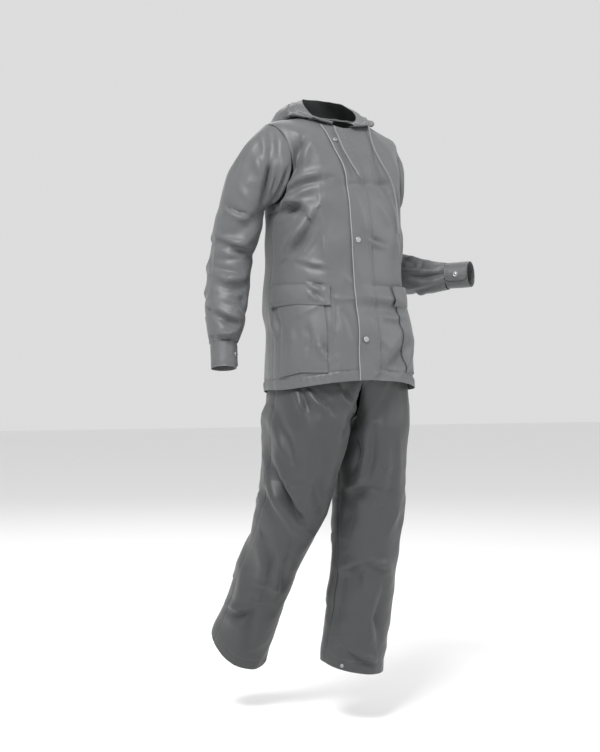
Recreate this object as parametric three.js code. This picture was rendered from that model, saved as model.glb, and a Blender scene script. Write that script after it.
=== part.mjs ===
// Worn rain suit: hooded jacket and trousers of coated nylon, as hollow cloth walls.
// Millimetres, +Z up. The wearer faces -Y and the wearer's left is +X.
// The origin is the middle of the shoulders, where the wearer carries the suit.

import * as THREE from "three";

// Driving dimensions
const CLOTH = 1.6; // jacket and trouser cloth with its coating and seam turnings
const SEAM_GAP = 0.3; // space between two pieces at a seam
const ARMHOLE_STEPS = 10; // rows up one side of an armhole
const ARMHOLE_SPREAD = 30; // degrees that the armhole reaches to the front and to the back
const FRONT_COLUMNS = 9; // columns of a jacket front
const FLAP_WIDTH = 48; // storm flap from its sewn edge to its free edge
const PIPING_DIAMETER = 3;
const SNAP_DIAMETER = 13;
const SNAP_HEIGHT = 2.4;
const CUFF_HEIGHT = 57;
const CUFF_LAP = 34; // overlap of the cuff's rounded end
const CUFF_CORNER = 15; // radius of the rounded end's corners
const CUFF_COLUMNS = 20;
const CORNER_ANGLES = [0, 0.03, 0.09, 0.2, 0.36]; // radians round from the rounded end
const POCKET_WIDTH = 136;
const POCKET_HEIGHT = 158;
const POCKET_FLAP_WIDTH = 170;
const POCKET_FLAP_HEIGHT = 42;
const CORD_DIAMETER = 4.6;
const WAISTBAND_HEIGHT = 38;
const WAISTBAND_THICKNESS = 2.2; // two layers round the elastic
const WAISTBAND_GATHERS = 24;
const GATHER_DEPTH = 1.2;
const WAIST_TOP = -346;
const LAP_STEP = 3.4; // how much further out the lapped end of a cuff lies than its start
const CUFF_SNAP_INSET = 16; // snap centre from the cuff's lapped end
const SNAP_CLEARANCE = 0.3;
const SNAP_SIDES = 10;
const ANKLE_SNAP_DIAMETER = 9;
const ANKLE_SNAP_HEIGHT = 1.8;
const ANKLE_SNAP_TURN = 139; // degrees round the leg from the outer seam, on the inner front
const ANKLE_SNAP_RISE = 0.22; // rows of the leg table above the hem
const BODY_RADIUS = 162; // mean radius of the jacket body, for widths laid round it
const BODY_DEGREE = 2.9; // millimetres of cloth in one degree round the jacket body
const SLEEVE_DEGREE = 0.9;
const LEG_DEGREE = 1.45;
const CAP_STAND = 0.25; // how much of its outward start the sleeve cap keeps at the shoulder
const POCKET_TURN = 34; // degrees from the side seam to the pocket's middle
const POCKET_TOP = -414; // heights at the centre front
const POCKET_FLAP_TOP = -388;
const POCKET_FLAP_SAG = 3; // how much higher the ends of the flap's lower edge are than its middle
const PATCH_TILT = 0.25; // millimetres that a patch drops for each degree from its middle
const POCKET_OUT = 3.2; // the patch's outer face from the front's
const POCKET_FLAP_OUT = 6;
const FLAP_OUT = 3; // the storm flap's outer face from the fronts'
const PIPING_OUT = 2.6;
const HOOD_CLEARANCE = 6.8; // the hood's hidden layer from the shoulders
const CROTCH_HEIGHT = -705;
const FORK_TOP = -560; // where the seat and front seams start to curve in to the crotch

const COATED_NYLON = { color: 0x6f7072, roughness: 0.48, metalness: 0 };
const TROUSER_NYLON = { color: 0x57585a, roughness: 0.5, metalness: 0 };
const PIPING_NYLON = { color: 0xc9cacb, roughness: 0.6, metalness: 0 };
const BRAIDED_CORD = { color: 0xb4b5b6, roughness: 0.8, metalness: 0 };
const SNAP_METAL = { color: 0xc4c6c8, roughness: 0.3, metalness: 0.9 };

// Jacket body, one row a level from the hem to the neckline.
// side, front and back are heights; middleX and middleY place the section; halfWidth, frontDepth and
// backDepth size it; square is its superellipse power; twist turns it and roll tips it, in degrees.
const BODY = [
  { side: -622, front: -600, back: -640, middleX: 2, middleY: -48, halfWidth: 169, frontDepth: 152, backDepth: 154, square: 2.35, twist: 0, roll: 0 },
  { side: -560, front: -550, back: -570, middleX: -0.5, middleY: -46, halfWidth: 165.5, frontDepth: 149, backDepth: 148, square: 2.35, twist: 0, roll: 0 },
  { side: -490, front: -486, back: -494, middleX: -1.5, middleY: -44, halfWidth: 162.5, frontDepth: 147, backDepth: 143, square: 2.35, twist: 0, roll: 0 },
  { side: -410, front: -410, back: -410, middleX: -5.5, middleY: -29, halfWidth: 160.5, frontDepth: 146, backDepth: 138, square: 2.35, twist: 0, roll: 0 },
  { side: -335, front: -335, back: -335, middleX: -3.5, middleY: -26, halfWidth: 156.5, frontDepth: 142, backDepth: 132, square: 2.3, twist: 1, roll: 0 },
  { side: -265, front: -265, back: -265, middleX: -3.5, middleY: -24, halfWidth: 158.5, frontDepth: 140, backDepth: 130, square: 2.3, twist: 2, roll: 0 },
  { side: -205, front: -205, back: -205, middleX: -3.5, middleY: -22, halfWidth: 159.5, frontDepth: 138, backDepth: 126, square: 2.3, twist: 3, roll: 1 },
  { side: -150, front: -158, back: -150, middleX: -5, middleY: -18, halfWidth: 163, frontDepth: 136, backDepth: 126, square: 2.3, twist: 4, roll: 2 },
  { side: -100, front: -120, back: -100, middleX: -5, middleY: -14, halfWidth: 168, frontDepth: 128, backDepth: 122, square: 2.25, twist: 5, roll: 3 },
  { side: -58, front: -90, back: -58, middleX: -6, middleY: -10, halfWidth: 170, frontDepth: 118, backDepth: 112, square: 2.2, twist: 5, roll: 3.5 },
  { side: -31, front: -68, back: -30, middleX: -4, middleY: -8, halfWidth: 166, frontDepth: 104, backDepth: 98, square: 2.1, twist: 5, roll: 3.5 },
  { side: -17, front: -50, back: -10, middleX: 0, middleY: -6, halfWidth: 138, frontDepth: 91, backDepth: 84, square: 2, twist: 4, roll: 3 },
  { side: -6, front: -36, back: 4, middleX: 0, middleY: -5, halfWidth: 102, frontDepth: 80, backDepth: 70, square: 2, twist: 2, roll: 1.5 },
  { side: 4, front: -23, back: 14, middleX: 0, middleY: -5, halfWidth: 67, frontDepth: 68, backDepth: 58, square: 2, twist: 0, roll: 0 },
];
const LEVEL = { hem: 0, armpit: 6, shoulderTip: 10, neck: 13 };

// Largest folds of the jacket body: chart points are degrees round the body and heights.
const BODY_FOLDS = [
  { fromTurn: 146, fromHeight: -45, toTurn: 143, toHeight: -120, width: 17, depth: -6 },
  { fromTurn: 160, fromHeight: -222, toTurn: 118, toHeight: -180, width: 19, depth: -6 },
  { fromTurn: 163, fromHeight: -300, toTurn: 122, toHeight: -200, width: 24, depth: 6 },
  { fromTurn: 30, fromHeight: -230, toTurn: 66, toHeight: -165, width: 20, depth: -6 },
  { fromTurn: 62, fromHeight: -575, toTurn: 36, toHeight: -515, width: 20, depth: 6 },
  { fromTurn: 205, fromHeight: -250, toTurn: 245, toHeight: -190, width: 22, depth: -6 },
  { fromTurn: 335, fromHeight: -260, toTurn: 296, toHeight: -200, width: 22, depth: -6 },
  { fromTurn: 212, fromHeight: -450, toTurn: 262, toHeight: -365, width: 26, depth: 6 },
  { fromTurn: 325, fromHeight: -455, toTurn: 280, toHeight: -385, width: 26, depth: 6 },
];

// Sleeves below the armhole, one row a ring: centre, half sizes and the sleeve's direction there.
// across runs from the underarm to the outer side and deep runs from front to back.
const RIGHT_SLEEVE = [
  { x: -224, y: 0, z: -216, across: 50, deep: 62, toX: -0.1, toY: 0.12, toZ: -0.98 },
  { x: -230, y: 14, z: -262, across: 51, deep: 62, toX: -0.12, toY: 0.25, toZ: -0.96 },
  { x: -235.5, y: 26, z: -305, across: 50, deep: 60, toX: -0.17, toY: 0.12, toZ: -0.97 },
  { x: -243, y: 24, z: -350, across: 48, deep: 57, toX: -0.18, toY: -0.1, toZ: -0.97 },
  { x: -252, y: 14, z: -395, across: 47, deep: 54, toX: -0.18, toY: -0.2, toZ: -0.96 },
  { x: -261, y: 2, z: -440, across: 46, deep: 51, toX: -0.16, toY: -0.22, toZ: -0.96 },
  { x: -269, y: -10, z: -482, across: 41, deep: 44, toX: -0.13, toY: -0.22, toZ: -0.97 },
  { x: -276, y: -19.5, z: -518, across: 31, deep: 35, toX: -0.08, toY: -0.2, toZ: -0.97 },
];
const LEFT_SLEEVE = [
  { x: 157, y: 108, z: -208, across: 38, deep: 48, toX: 0.14, toY: 0.42, toZ: -0.89 },
  { x: 171, y: 127, z: -254, across: 42, deep: 50, toX: 0.2, toY: 0.4, toZ: -0.9 },
  { x: 187, y: 140, z: -297, across: 46, deep: 51, toX: 0.32, toY: 0.25, toZ: -0.92 },
  { x: 208, y: 142, z: -326, across: 50, deep: 51, toX: 0.56, toY: -0.35, toZ: -0.6 },
  { x: 236, y: 122, z: -340, across: 52, deep: 49, toX: 0.65, toY: -0.72, toZ: -0.2 },
  { x: 262, y: 92, z: -345, across: 48, deep: 45, toX: 0.64, toY: -0.76, toZ: -0.1 },
  { x: 290, y: 58, z: -349, across: 42, deep: 41, toX: 0.64, toY: -0.77, toZ: -0.04 },
  { x: 314, y: 29, z: -351, across: 37, deep: 37, toX: 0.64, toY: -0.77, toZ: 0.02 },
  { x: 331, y: 9, z: -350.5, across: 33.5, deep: 33, toX: 0.64, toY: -0.77, toZ: 0.04 },
];
const SLEEVE_CAP_ROWS = 6;

// Largest folds of the sleeves: degrees round from the underarm by the front, and millimetres along.
const RIGHT_SLEEVE_FOLDS = [
  { fromTurn: 30, fromAlong: 120, toTurn: 150, toAlong: 205, width: 13, depth: -7 },
  { fromTurn: 40, fromAlong: 165, toTurn: 160, toAlong: 250, width: 12, depth: 6 },
  { fromTurn: 20, fromAlong: 232, toTurn: 140, toAlong: 268, width: 11, depth: -6 },
  { fromTurn: 60, fromAlong: 310, toTurn: 175, toAlong: 285, width: 11, depth: -6 },
  { fromTurn: 25, fromAlong: 385, toTurn: 150, toAlong: 352, width: 11, depth: -6 },
  { fromTurn: 215, fromAlong: 240, toTurn: 330, toAlong: 205, width: 13, depth: -7 },
  { fromTurn: 210, fromAlong: 330, toTurn: 335, toAlong: 350, width: 13, depth: 5 },
];
const LEFT_SLEEVE_FOLDS = [
  { fromTurn: 60, fromAlong: 335, toTurn: 70, toAlong: 480, width: 10, depth: -7 },
  { fromTurn: 120, fromAlong: 330, toTurn: 100, toAlong: 420, width: 12, depth: 6 },
  { fromTurn: 35, fromAlong: 300, toTurn: 120, toAlong: 292, width: 11, depth: -7 },
  { fromTurn: 215, fromAlong: 270, toTurn: 320, toAlong: 300, width: 12, depth: -6 },
  { fromTurn: 200, fromAlong: 150, toTurn: 330, toAlong: 210, width: 13, depth: -6 },
];

// Hood, folded down: keyed by the angle round the neck from the centre front, in degrees.
// foldLevel is the body level that the hidden layer reaches, rim places the free face edge, and
// swell is how far the outer layer stands out between the two.
const HOOD = [
  { turn: 9, foldLevel: 12.6, rimRadius: 62, rimHeight: -12, foldOut: 5, swell: 2 },
  { turn: 28, foldLevel: 12.25, rimRadius: 61, rimHeight: -5, foldOut: 6, swell: 3 },
  { turn: 55, foldLevel: 12.1, rimRadius: 60, rimHeight: 10, foldOut: 7, swell: 4 },
  { turn: 85, foldLevel: 12.05, rimRadius: 61, rimHeight: 28, foldOut: 8, swell: 6 },
  { turn: 110, foldLevel: 11.85, rimRadius: 63, rimHeight: 44, foldOut: 10, swell: 9 },
  { turn: 130, foldLevel: 10.9, rimRadius: 68, rimHeight: 53, foldOut: 14, swell: 15 },
  { turn: 148, foldLevel: 9.2, rimRadius: 75, rimHeight: 58, foldOut: 19, swell: 23 },
  { turn: 165, foldLevel: 7.3, rimRadius: 81, rimHeight: 61, foldOut: 24, swell: 29 },
  { turn: 180, foldLevel: 6.6, rimRadius: 83, rimHeight: 62, foldOut: 26, swell: 30 },
];
const HOOD_COLUMNS = 15;
const HOOD_CROWDING = 0.9; // below 1 the columns crowd to the centre back
const HOOD_START = 0.3; // levels below the neckline at which the hidden layer starts
const HOOD_TURN = 0.12; // most levels that the fold's underside drops below the hidden layer
const HOOD_LEAN = 0.35; // how far upward the outer layer swells

// Trousers above the crotch, one row a level, as BODY.
const HIPS = [
  { z: -345, middleY: -30, halfWidth: 128, frontDepth: 98, backDepth: 98, square: 2.2 },
  { z: -384, middleY: -32, halfWidth: 130, frontDepth: 101, backDepth: 100, square: 2.2 },
  { z: -470, middleY: -36, halfWidth: 145, frontDepth: 122, backDepth: 118, square: 2.25 },
  { z: -560, middleY: -42, halfWidth: 154, frontDepth: 134, backDepth: 132, square: 2.25 },
  { z: -640, middleY: -46, halfWidth: 158, frontDepth: 137, backDepth: 137, square: 2.25 },
  { z: -720, middleY: -44, halfWidth: 160, frontDepth: 136, backDepth: 137, square: 2.25 },
];
// Trouser legs from the crotch down, one row a ring: square is its superellipse power; pitch tips the
// ring to the front and roll to the side, in degrees.
const RIGHT_LEG = [
  { x: -84, y: -37, z: -705, across: 81.8, deep: 134, square: 3.2, pitch: 0, roll: 0 },
  { x: -88, y: -30, z: -765, across: 80, deep: 114, square: 2.8, pitch: 4, roll: 0 },
  { x: -94, y: -20, z: -830, across: 78, deep: 95, square: 2.4, pitch: 10, roll: 1 },
  { x: -98, y: 9, z: -900, across: 74, deep: 82, square: 2.2, pitch: 22, roll: 1 },
  { x: -101, y: 52, z: -963, across: 71, deep: 75, square: 2.1, pitch: 34, roll: 1 },
  { x: -103, y: 98, z: -1015, across: 67, deep: 71, square: 2.1, pitch: 38, roll: 1 },
  { x: -104, y: 140, z: -1075, across: 67, deep: 70, square: 2.1, pitch: 36, roll: 1 },
  { x: -106, y: 184, z: -1140, across: 68, deep: 70, square: 2.1, pitch: 35, roll: 2 },
  { x: -109, y: 226, z: -1199, across: 69, deep: 71, square: 2.1, pitch: 39, roll: 5 },
  { x: -111, y: 253, z: -1242, across: 69, deep: 71, square: 2.1, pitch: 47, roll: 10 },
];
const LEFT_LEG = [
  { x: 82, y: -37, z: -705, across: 79.8, deep: 134, square: 3.2, pitch: 0, roll: 0 },
  { x: 83, y: -38, z: -765, across: 77.5, deep: 114, square: 2.8, pitch: -2, roll: 0 },
  { x: 84, y: -38, z: -824, across: 77, deep: 100, square: 2.4, pitch: -3, roll: 1 },
  { x: 84.5, y: -28, z: -916, across: 76.5, deep: 90, square: 2.2, pitch: 2, roll: 2 },
  { x: 84, y: -19, z: -1009, across: 74, deep: 84, square: 2.1, pitch: 5, roll: 3 },
  { x: 80, y: -3, z: -1102, across: 74, deep: 82, square: 2.1, pitch: 9, roll: 4 },
  { x: 75, y: 12, z: -1195, across: 73, deep: 82, square: 2.1, pitch: 9, roll: 5 },
  { x: 72, y: 23, z: -1266, across: 73, deep: 82, square: 2.1, pitch: 9, roll: 6 },
];

// Largest folds of the legs: degrees round from the outer seam by the front, and heights.
const RIGHT_LEG_FOLDS = [
  { fromTurn: 40, fromHeight: -800, toTurn: 112, toHeight: -930, width: 15, depth: 8 },
  { fromTurn: 52, fromHeight: -780, toTurn: 124, toHeight: -905, width: 13, depth: -9 },
  { fromTurn: 20, fromHeight: -870, toTurn: 80, toHeight: -962, width: 14, depth: -7 },
  { fromTurn: 150, fromHeight: -830, toTurn: 110, toHeight: -980, width: 15, depth: 6 },
  { fromTurn: 300, fromHeight: -930, toTurn: 350, toHeight: -985, width: 16, depth: -9 },
  { fromTurn: 250, fromHeight: -960, toTurn: 320, toHeight: -1030, width: 16, depth: 7 },
  { fromTurn: 40, fromHeight: -1060, toTurn: 90, toHeight: -1110, width: 14, depth: -5 },
];
const LEFT_LEG_FOLDS = [
  { fromTurn: 150, fromHeight: -870, toTurn: 60, toHeight: -905, width: 15, depth: -8 },
  { fromTurn: 150, fromHeight: -985, toTurn: 120, toHeight: -1100, width: 17, depth: -9 },
  { fromTurn: 95, fromHeight: -1000, toTurn: 62, toHeight: -1060, width: 16, depth: 7 },
  { fromTurn: 20, fromHeight: -850, toTurn: 50, toHeight: -980, width: 14, depth: 6 },
  { fromTurn: 300, fromHeight: -880, toTurn: 240, toHeight: -930, width: 17, depth: -8 },
  { fromTurn: 230, fromHeight: -1030, toTurn: 320, toHeight: -1080, width: 16, depth: -7 },
];

// Storm flap: where its free edge runs, by height at the centre front.
const FLAP_EDGE = [
  { level: 13, x: -55 },
  { level: 12, x: -59 },
  { level: 11, x: -60.5 },
  { level: 10, x: -61 },
  { level: 9, x: -56 },
  { level: 8, x: -46 },
  { level: 7, x: -38 },
  { level: 6, x: -34 },
  { level: 5, x: -31 },
  { level: 4, x: -26 },
  { level: 3, x: -20 },
  { level: 2, x: -22 },
  { level: 1, x: -25 },
  { level: 0, x: -29 },
];
// Snaps of the storm flap: height at the centre front, and their centre from the free edge
const FLAP_SNAPS = [
  { name: "snap_top", height: -67, inset: 11.5 },
  { name: "snap_middle", height: -287, inset: 13 },
  { name: "snap_bottom", height: -509, inset: 13 },
];

// Free ends of the hood's drawcord: the route of each, by hand.
const CORD_RIGHT_ROUTE = [
  [-30.8, -84.1, -24.5], [-32.5, -89.6, -28.3], [-34, -94.7, -33.2], [-34.8, -99, -38.5], [-35.2, -104.5, -44],
  [-35.3, -109, -49], [-35.4, -114, -54.5], [-35.8, -119, -60.5], [-36, -124.5, -67], [-35.8, -129, -73],
  [-35, -133.3, -80], [-32.8, -138.5, -89.2], [-29, -143.2, -98.8], [-25.4, -147, -108], [-21.6, -150.4, -117],
  [-15, -154.8, -129.7], [-8, -158.4, -142],
];
const CORD_LEFT_ROUTE = [
  [66, -70.5, -15.9], [66, -74, -23], [64.5, -79.5, -32], [62.8, -85, -40], [61.2, -91, -48],
  [59.8, -97, -55.5], [58.8, -103, -63], [58.2, -109, -70.5], [58.2, -115, -78.5], [59.2, -121.5, -88],
  [61.5, -127.5, -98], [65.5, -131.5, -107.5], [70, -134.5, -117], [75.5, -136.8, -127], [80.8, -138.3, -137.5],
  [87, -139.4, -151], [91.5, -140.3, -165], [95, -141.2, -180], [97.2, -142.3, -195], [98.6, -144, -212],
  [99.2, -145.4, -230], [100, -146.5, -250], [102, -147, -268],
];

const RADIANS = Math.PI / 180;
const suit = new THREE.Group();

// Small vector helpers on plain [x, y, z] points
const add = (a, b, k = 1) => [a[0] + b[0] * k, a[1] + b[1] * k, a[2] + b[2] * k];
const minus = (a, b) => [a[0] - b[0], a[1] - b[1], a[2] - b[2]];
const scale = (a, k) => [a[0] * k, a[1] * k, a[2] * k];
const dot = (a, b) => a[0] * b[0] + a[1] * b[1] + a[2] * b[2];
const cross = (a, b) => [a[1] * b[2] - a[2] * b[1], a[2] * b[0] - a[0] * b[2], a[0] * b[1] - a[1] * b[0]];
const unit = (a) => scale(a, 1 / Math.hypot(...a));
const mix = (a, b, t) => a + (b - a) * t;
const mixPoint = (a, b, t) => add(scale(a, 1 - t), b, t);
const range = (n) => Array.from({ length: n }, (_, i) => i);
const smooth = (t) => t * t * (3 - 2 * t);

// Smooth curve through the rows of a table, at any place between them
function between(rows, key, place) {
  const last = rows.length - 1;
  const i = Math.min(Math.max(Math.floor(place), 0), last - 1);
  const t = Math.min(Math.max(place - i, 0), 1);
  const at = (k) => rows[Math.min(Math.max(k, 0), last)][key];
  const [p, q, r, s] = [at(i - 1), at(i), at(i + 1), at(i + 2)];
  return q + 0.5 * t * (r - p + t * (2 * p - 5 * q + 4 * r - s + t * (3 * (q - r) + s - p)));
}

// The row place at which a table's column has a value
function placeOf(rows, key, value) {
  const rising = rows[rows.length - 1][key] > rows[0][key];
  let low = 0;
  let high = rows.length - 1;
  for (let i = 0; i < 30; i += 1) {
    const middle = (low + high) / 2;
    if (between(rows, key, middle) < value === rising) low = middle;
    else high = middle;
  }
  return (low + high) / 2;
}

// Height of a soft fold at a chart point, for a table of folds drawn as straight lines
function foldHeight(folds, along, turnScale, turn, height) {
  let out = 0;
  for (const fold of folds) {
    const spin = Math.round((turn - fold.fromTurn) / 360) * 360;
    const from = [fold.fromTurn * turnScale, fold[`from${along}`]];
    const line = [(fold.toTurn - fold.fromTurn) * turnScale, fold[`to${along}`] - from[1]];
    if (Math.abs(line[0]) > 180 * turnScale) line[0] -= Math.sign(line[0]) * 360 * turnScale;
    const reach = [(turn - spin) * turnScale - from[0], height - from[1]];
    const length = Math.hypot(...line);
    const t = Math.min(Math.max((reach[0] * line[0] + reach[1] * line[1]) / length ** 2, 0), 1);
    const away = Math.hypot(reach[0] - line[0] * t, reach[1] - line[1] * t);
    const fade = 0.35 + 0.65 * Math.sin(Math.PI * Math.min(Math.max(t, 0.08), 0.92));
    out += fold.depth * fade * Math.exp(-((away / fold.width) ** 2));
  }
  return out;
}

// Jacket body: a point at an angle round (0 wearer's left, 90 front) and a level, moved out
const power = (value, p) => Math.sign(value) * Math.abs(value) ** p;

function bodyBase(turn, level, folded) {
  const at = (key) => between(BODY, key, level);
  const c = Math.cos(turn * RADIANS);
  const s = Math.sin(turn * RADIANS);
  const depth = s > 0 ? at("frontDepth") : at("backDepth");
  const x = at("halfWidth") * power(c, 2 / at("square"));
  const y = -depth * power(s, 2 / at("square"));
  const z = at("side") + ((s > 0 ? at("front") : at("back")) - at("side")) * s * s;
  const twist = at("twist") * RADIANS;
  const point = [
    at("middleX") + x * Math.cos(twist) - y * Math.sin(twist),
    at("middleY") + x * Math.sin(twist) + y * Math.cos(twist),
    z - x * Math.tan(at("roll") * RADIANS),
  ];
  if (!folded) return point;
  const reach = [x / at("halfWidth"), y / depth, 0];
  return add(point, reach, foldHeight(BODY_FOLDS, "Height", BODY_DEGREE, turn, z));
}

function normalOf(surface, turn, level, turnStep = 1, levelStep = 0.05) {
  const round = minus(surface(turn + turnStep, level), surface(turn - turnStep, level));
  const up = minus(surface(turn, level + levelStep), surface(turn, level - levelStep));
  return unit(cross(up, round));
}

function body(turn, level, out = 0) {
  const point = bodyBase(turn, level, true);
  if (out === 0) return point;
  const safe = Math.min(Math.max(level, 0.06), LEVEL.neck - 0.06);
  return add(point, normalOf((t, l) => bodyBase(t, l, false), turn, safe), out);
}

// The angle on the front at which the body has a given x
function turnAtX(x, level) {
  const ratio = Math.min(Math.abs(x) / between(BODY, "halfWidth", level), 1);
  const turn = Math.acos(ratio ** (between(BODY, "square", level) / 2)) / RADIANS;
  return x > 0 ? turn : 180 - turn;
}

const frontPoint = (x, level, out) => body(turnAtX(x, level), level, out);

// The grid moved square to itself by a distance, against the way its rows and columns turn
function movedGrid(grid, distance, closed = false) {
  const rows = grid.length;
  const columns = grid[0].length;
  const wrap = (j) => (closed ? (j + columns) % columns : Math.min(Math.max(j, 0), columns - 1));
  return grid.map((row, i) => row.map((point, j) => {
    const along = minus(grid[Math.min(i + 1, rows - 1)][j], grid[Math.max(i - 1, 0)][j]);
    const across = minus(row[wrap(j + 1)], row[wrap(j - 1)]);
    return add(point, unit(cross(along, across)), -distance);
  }));
}

// A closed cloth wall between a grid of outer points and a grid of inner points
function wallGeometry(outer, inner, { closed = false, mirrored = false } = {}) {
  const rows = outer.length;
  const columns = outer[0].length;
  const spans = closed ? columns : columns - 1;
  const faces = [];
  const outerAt = (i, j) => i * columns + (j % columns);
  const innerAt = (i, j) => rows * columns + outerAt(i, j);
  const quad = (a, b, c, d) => {
    if (mirrored) faces.push(a, c, b, a, d, c);
    else faces.push(a, b, c, a, c, d);
  };
  for (let i = 0; i < rows - 1; i += 1) {
    for (let j = 0; j < spans; j += 1) {
      quad(outerAt(i, j), outerAt(i + 1, j), outerAt(i + 1, j + 1), outerAt(i, j + 1));
      quad(innerAt(i, j), innerAt(i, j + 1), innerAt(i + 1, j + 1), innerAt(i + 1, j));
    }
    if (!closed) {
      quad(outerAt(i, 0), innerAt(i, 0), innerAt(i + 1, 0), outerAt(i + 1, 0));
      quad(outerAt(i, spans), outerAt(i + 1, spans), innerAt(i + 1, spans), innerAt(i, spans));
    }
  }
  for (let j = 0; j < spans; j += 1) {
    quad(outerAt(0, j), outerAt(0, j + 1), innerAt(0, j + 1), innerAt(0, j));
    quad(outerAt(rows - 1, j), innerAt(rows - 1, j), innerAt(rows - 1, j + 1), outerAt(rows - 1, j + 1));
  }
  const geometry = new THREE.BufferGeometry();
  geometry.setAttribute("position", new THREE.Float32BufferAttribute([...outer.flat(), ...inner.flat()].flat(), 3));
  geometry.setIndex(faces);
  geometry.computeVertexNormals();
  return geometry;
}

// A cloth wall whose thickness lies on the left or, mirrored, on the right of its grid
function clothWall(grid, { closed = false, mirrored = false, thickness = CLOTH } = {}) {
  return wallGeometry(grid, movedGrid(grid, mirrored ? -thickness : thickness, closed), { closed, mirrored });
}

function piece(name, geometry, finish) {
  const mesh = new THREE.Mesh(geometry, new THREE.MeshStandardMaterial(finish));
  mesh.name = name;
  suit.add(mesh);
  return mesh;
}

// Jacket fronts and back

// Half angle of the armhole at a level, and the levels of the rows up it
function armholeSpread(level) {
  const t = (level - LEVEL.armpit) / (LEVEL.shoulderTip - LEVEL.armpit);
  return t <= 0 || t >= 1 ? 0 : ARMHOLE_SPREAD * Math.sqrt(1 - (2 * t - 1) ** 2);
}

const LOWER_ROWS = 12;
const SHOULDER_ROWS = 5;
const bodyLevels = [
  ...range(LOWER_ROWS).map((i) => (LEVEL.armpit * i) / LOWER_ROWS),
  ...range(ARMHOLE_STEPS).map((i) => mix(LEVEL.armpit, LEVEL.shoulderTip, (1 - Math.cos((Math.PI * i) / ARMHOLE_STEPS)) / 2)),
  ...range(SHOULDER_ROWS + 1).map((i) => mix(LEVEL.shoulderTip, LEVEL.neck, i / SHOULDER_ROWS)),
];

// A cloth wall that follows the jacket body, from a grid of [turn, level]
function bodyWall(grid, out, mirrored) {
  const face = (distance) => grid.map((row) => row.map(([turn, level]) => body(turn, level, distance)));
  return wallGeometry(face(out), face(out - CLOTH), { mirrored });
}

function bodyPanel(name, fromTurn, toTurn, columns) {
  const grid = bodyLevels.map((level) => {
    const gap = (SEAM_GAP / 2 / between(BODY, "halfWidth", level)) / RADIANS;
    const atSide = (turn) => turn % 180 === 0;
    const start = fromTurn + gap + (atSide(fromTurn) ? armholeSpread(level) : 0);
    const end = toTurn - gap - (atSide(toTurn) ? armholeSpread(level) : 0);
    return range(columns).map((j) => [mix(start, end, j / (columns - 1)), level]);
  });
  piece(name, bodyWall(grid, 0, false), COATED_NYLON);
}

bodyPanel("jacket_front_left", 0, 90, FRONT_COLUMNS);
bodyPanel("jacket_front_right", 90, 180, FRONT_COLUMNS);
bodyPanel("jacket_back", 180, 360, 2 * FRONT_COLUMNS - 3);

// Sleeves: from the armhole by a smooth cap to the first ring, then through the rings

function armholeLoop(sideTurn, frontSign) {
  return range(2 * ARMHOLE_STEPS).map((i) => {
    const phase = (Math.PI * i) / ARMHOLE_STEPS;
    const level = mix(LEVEL.armpit, LEVEL.shoulderTip, (1 - Math.cos(phase)) / 2);
    const turn = sideTurn + frontSign * ARMHOLE_SPREAD * Math.sin(phase);
    const point = body(turn, level);
    const normal = normalOf((t, l) => bodyBase(t, l, false), turn, level);
    const middle = body(sideTurn, (LEVEL.armpit + LEVEL.shoulderTip) / 2);
    const toMiddle = minus(middle, point);
    const inPlane = unit(add(toMiddle, normal, -dot(toMiddle, normal)));
    const rise = (1 - Math.cos(phase)) / 2;
    const leave = unit(add(scale(normal, mix(1, CAP_STAND, rise)), inPlane, rise));
    return { start: add(point, inPlane, SEAM_GAP), leave };
  });
}

function sleeveRings({ rows, under, loop, folds, fullness }) {
  const columns = loop.length;
  let inward = under;
  const ringAt = (place) => {
    const at = (key) => between(rows, key, place);
    const along = unit([at("toX"), at("toY"), at("toZ")]);
    inward = unit(add(inward, along, -dot(inward, along)));
    const forward = frontOf(inward, along);
    return range(columns).map((j) => {
      const angle = (2 * Math.PI * j) / columns;
      const out = add(scale(inward, Math.cos(angle)), forward, Math.sin(angle));
      const flat = add(scale(inward, at("across") * Math.cos(angle)), forward, at("deep") * Math.sin(angle));
      return { point: add([at("x"), at("y"), at("z")], flat), out, along };
    });
  };
  const first = ringAt(0);
  const grid = range(SLEEVE_CAP_ROWS).map((i) => {
    const t = i / SLEEVE_CAP_ROWS;
    return loop.map(({ start, leave }, j) => {
      const reach = Math.hypot(...minus(first[j].point, start));
      const curve = [2 * t ** 3 - 3 * t * t + 1, t ** 3 - 2 * t * t + t, 3 * t * t - 2 * t ** 3, t ** 3 - t * t];
      let point = scale(start, curve[0]);
      point = add(point, leave, curve[1] * reach * fullness);
      point = add(point, first[j].point, curve[2]);
      return { point: add(point, first[j].along, curve[3] * reach), out: first[j].out };
    });
  });
  const steps = 2 * (rows.length - 1);
  for (const i of range(steps + 1)) grid.push(ringAt(i / 2));
  let along = 0;
  return grid.map((ring, i) => {
    if (i > 0) along += Math.hypot(...minus(middleOf(ring), middleOf(grid[i - 1])));
    const calm = Math.min(1, i / SLEEVE_CAP_ROWS, (grid.length - 1 - i) / 2);
    return ring.map(({ point, out }, j) =>
      add(point, out, calm * foldHeight(folds, "Along", SLEEVE_DEGREE, (360 * j) / columns, along)));
  });
}

const middleOf = (ring) => scale(ring.reduce((sum, { point }) => add(sum, point), [0, 0, 0]), 1 / ring.length);

// The direction to the sleeve's front, square to its inner side and its length
function frontOf(inward, along) {
  const forward = unit(cross(inward, along));
  return forward[1] > 0 ? scale(forward, -1) : forward;
}

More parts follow.
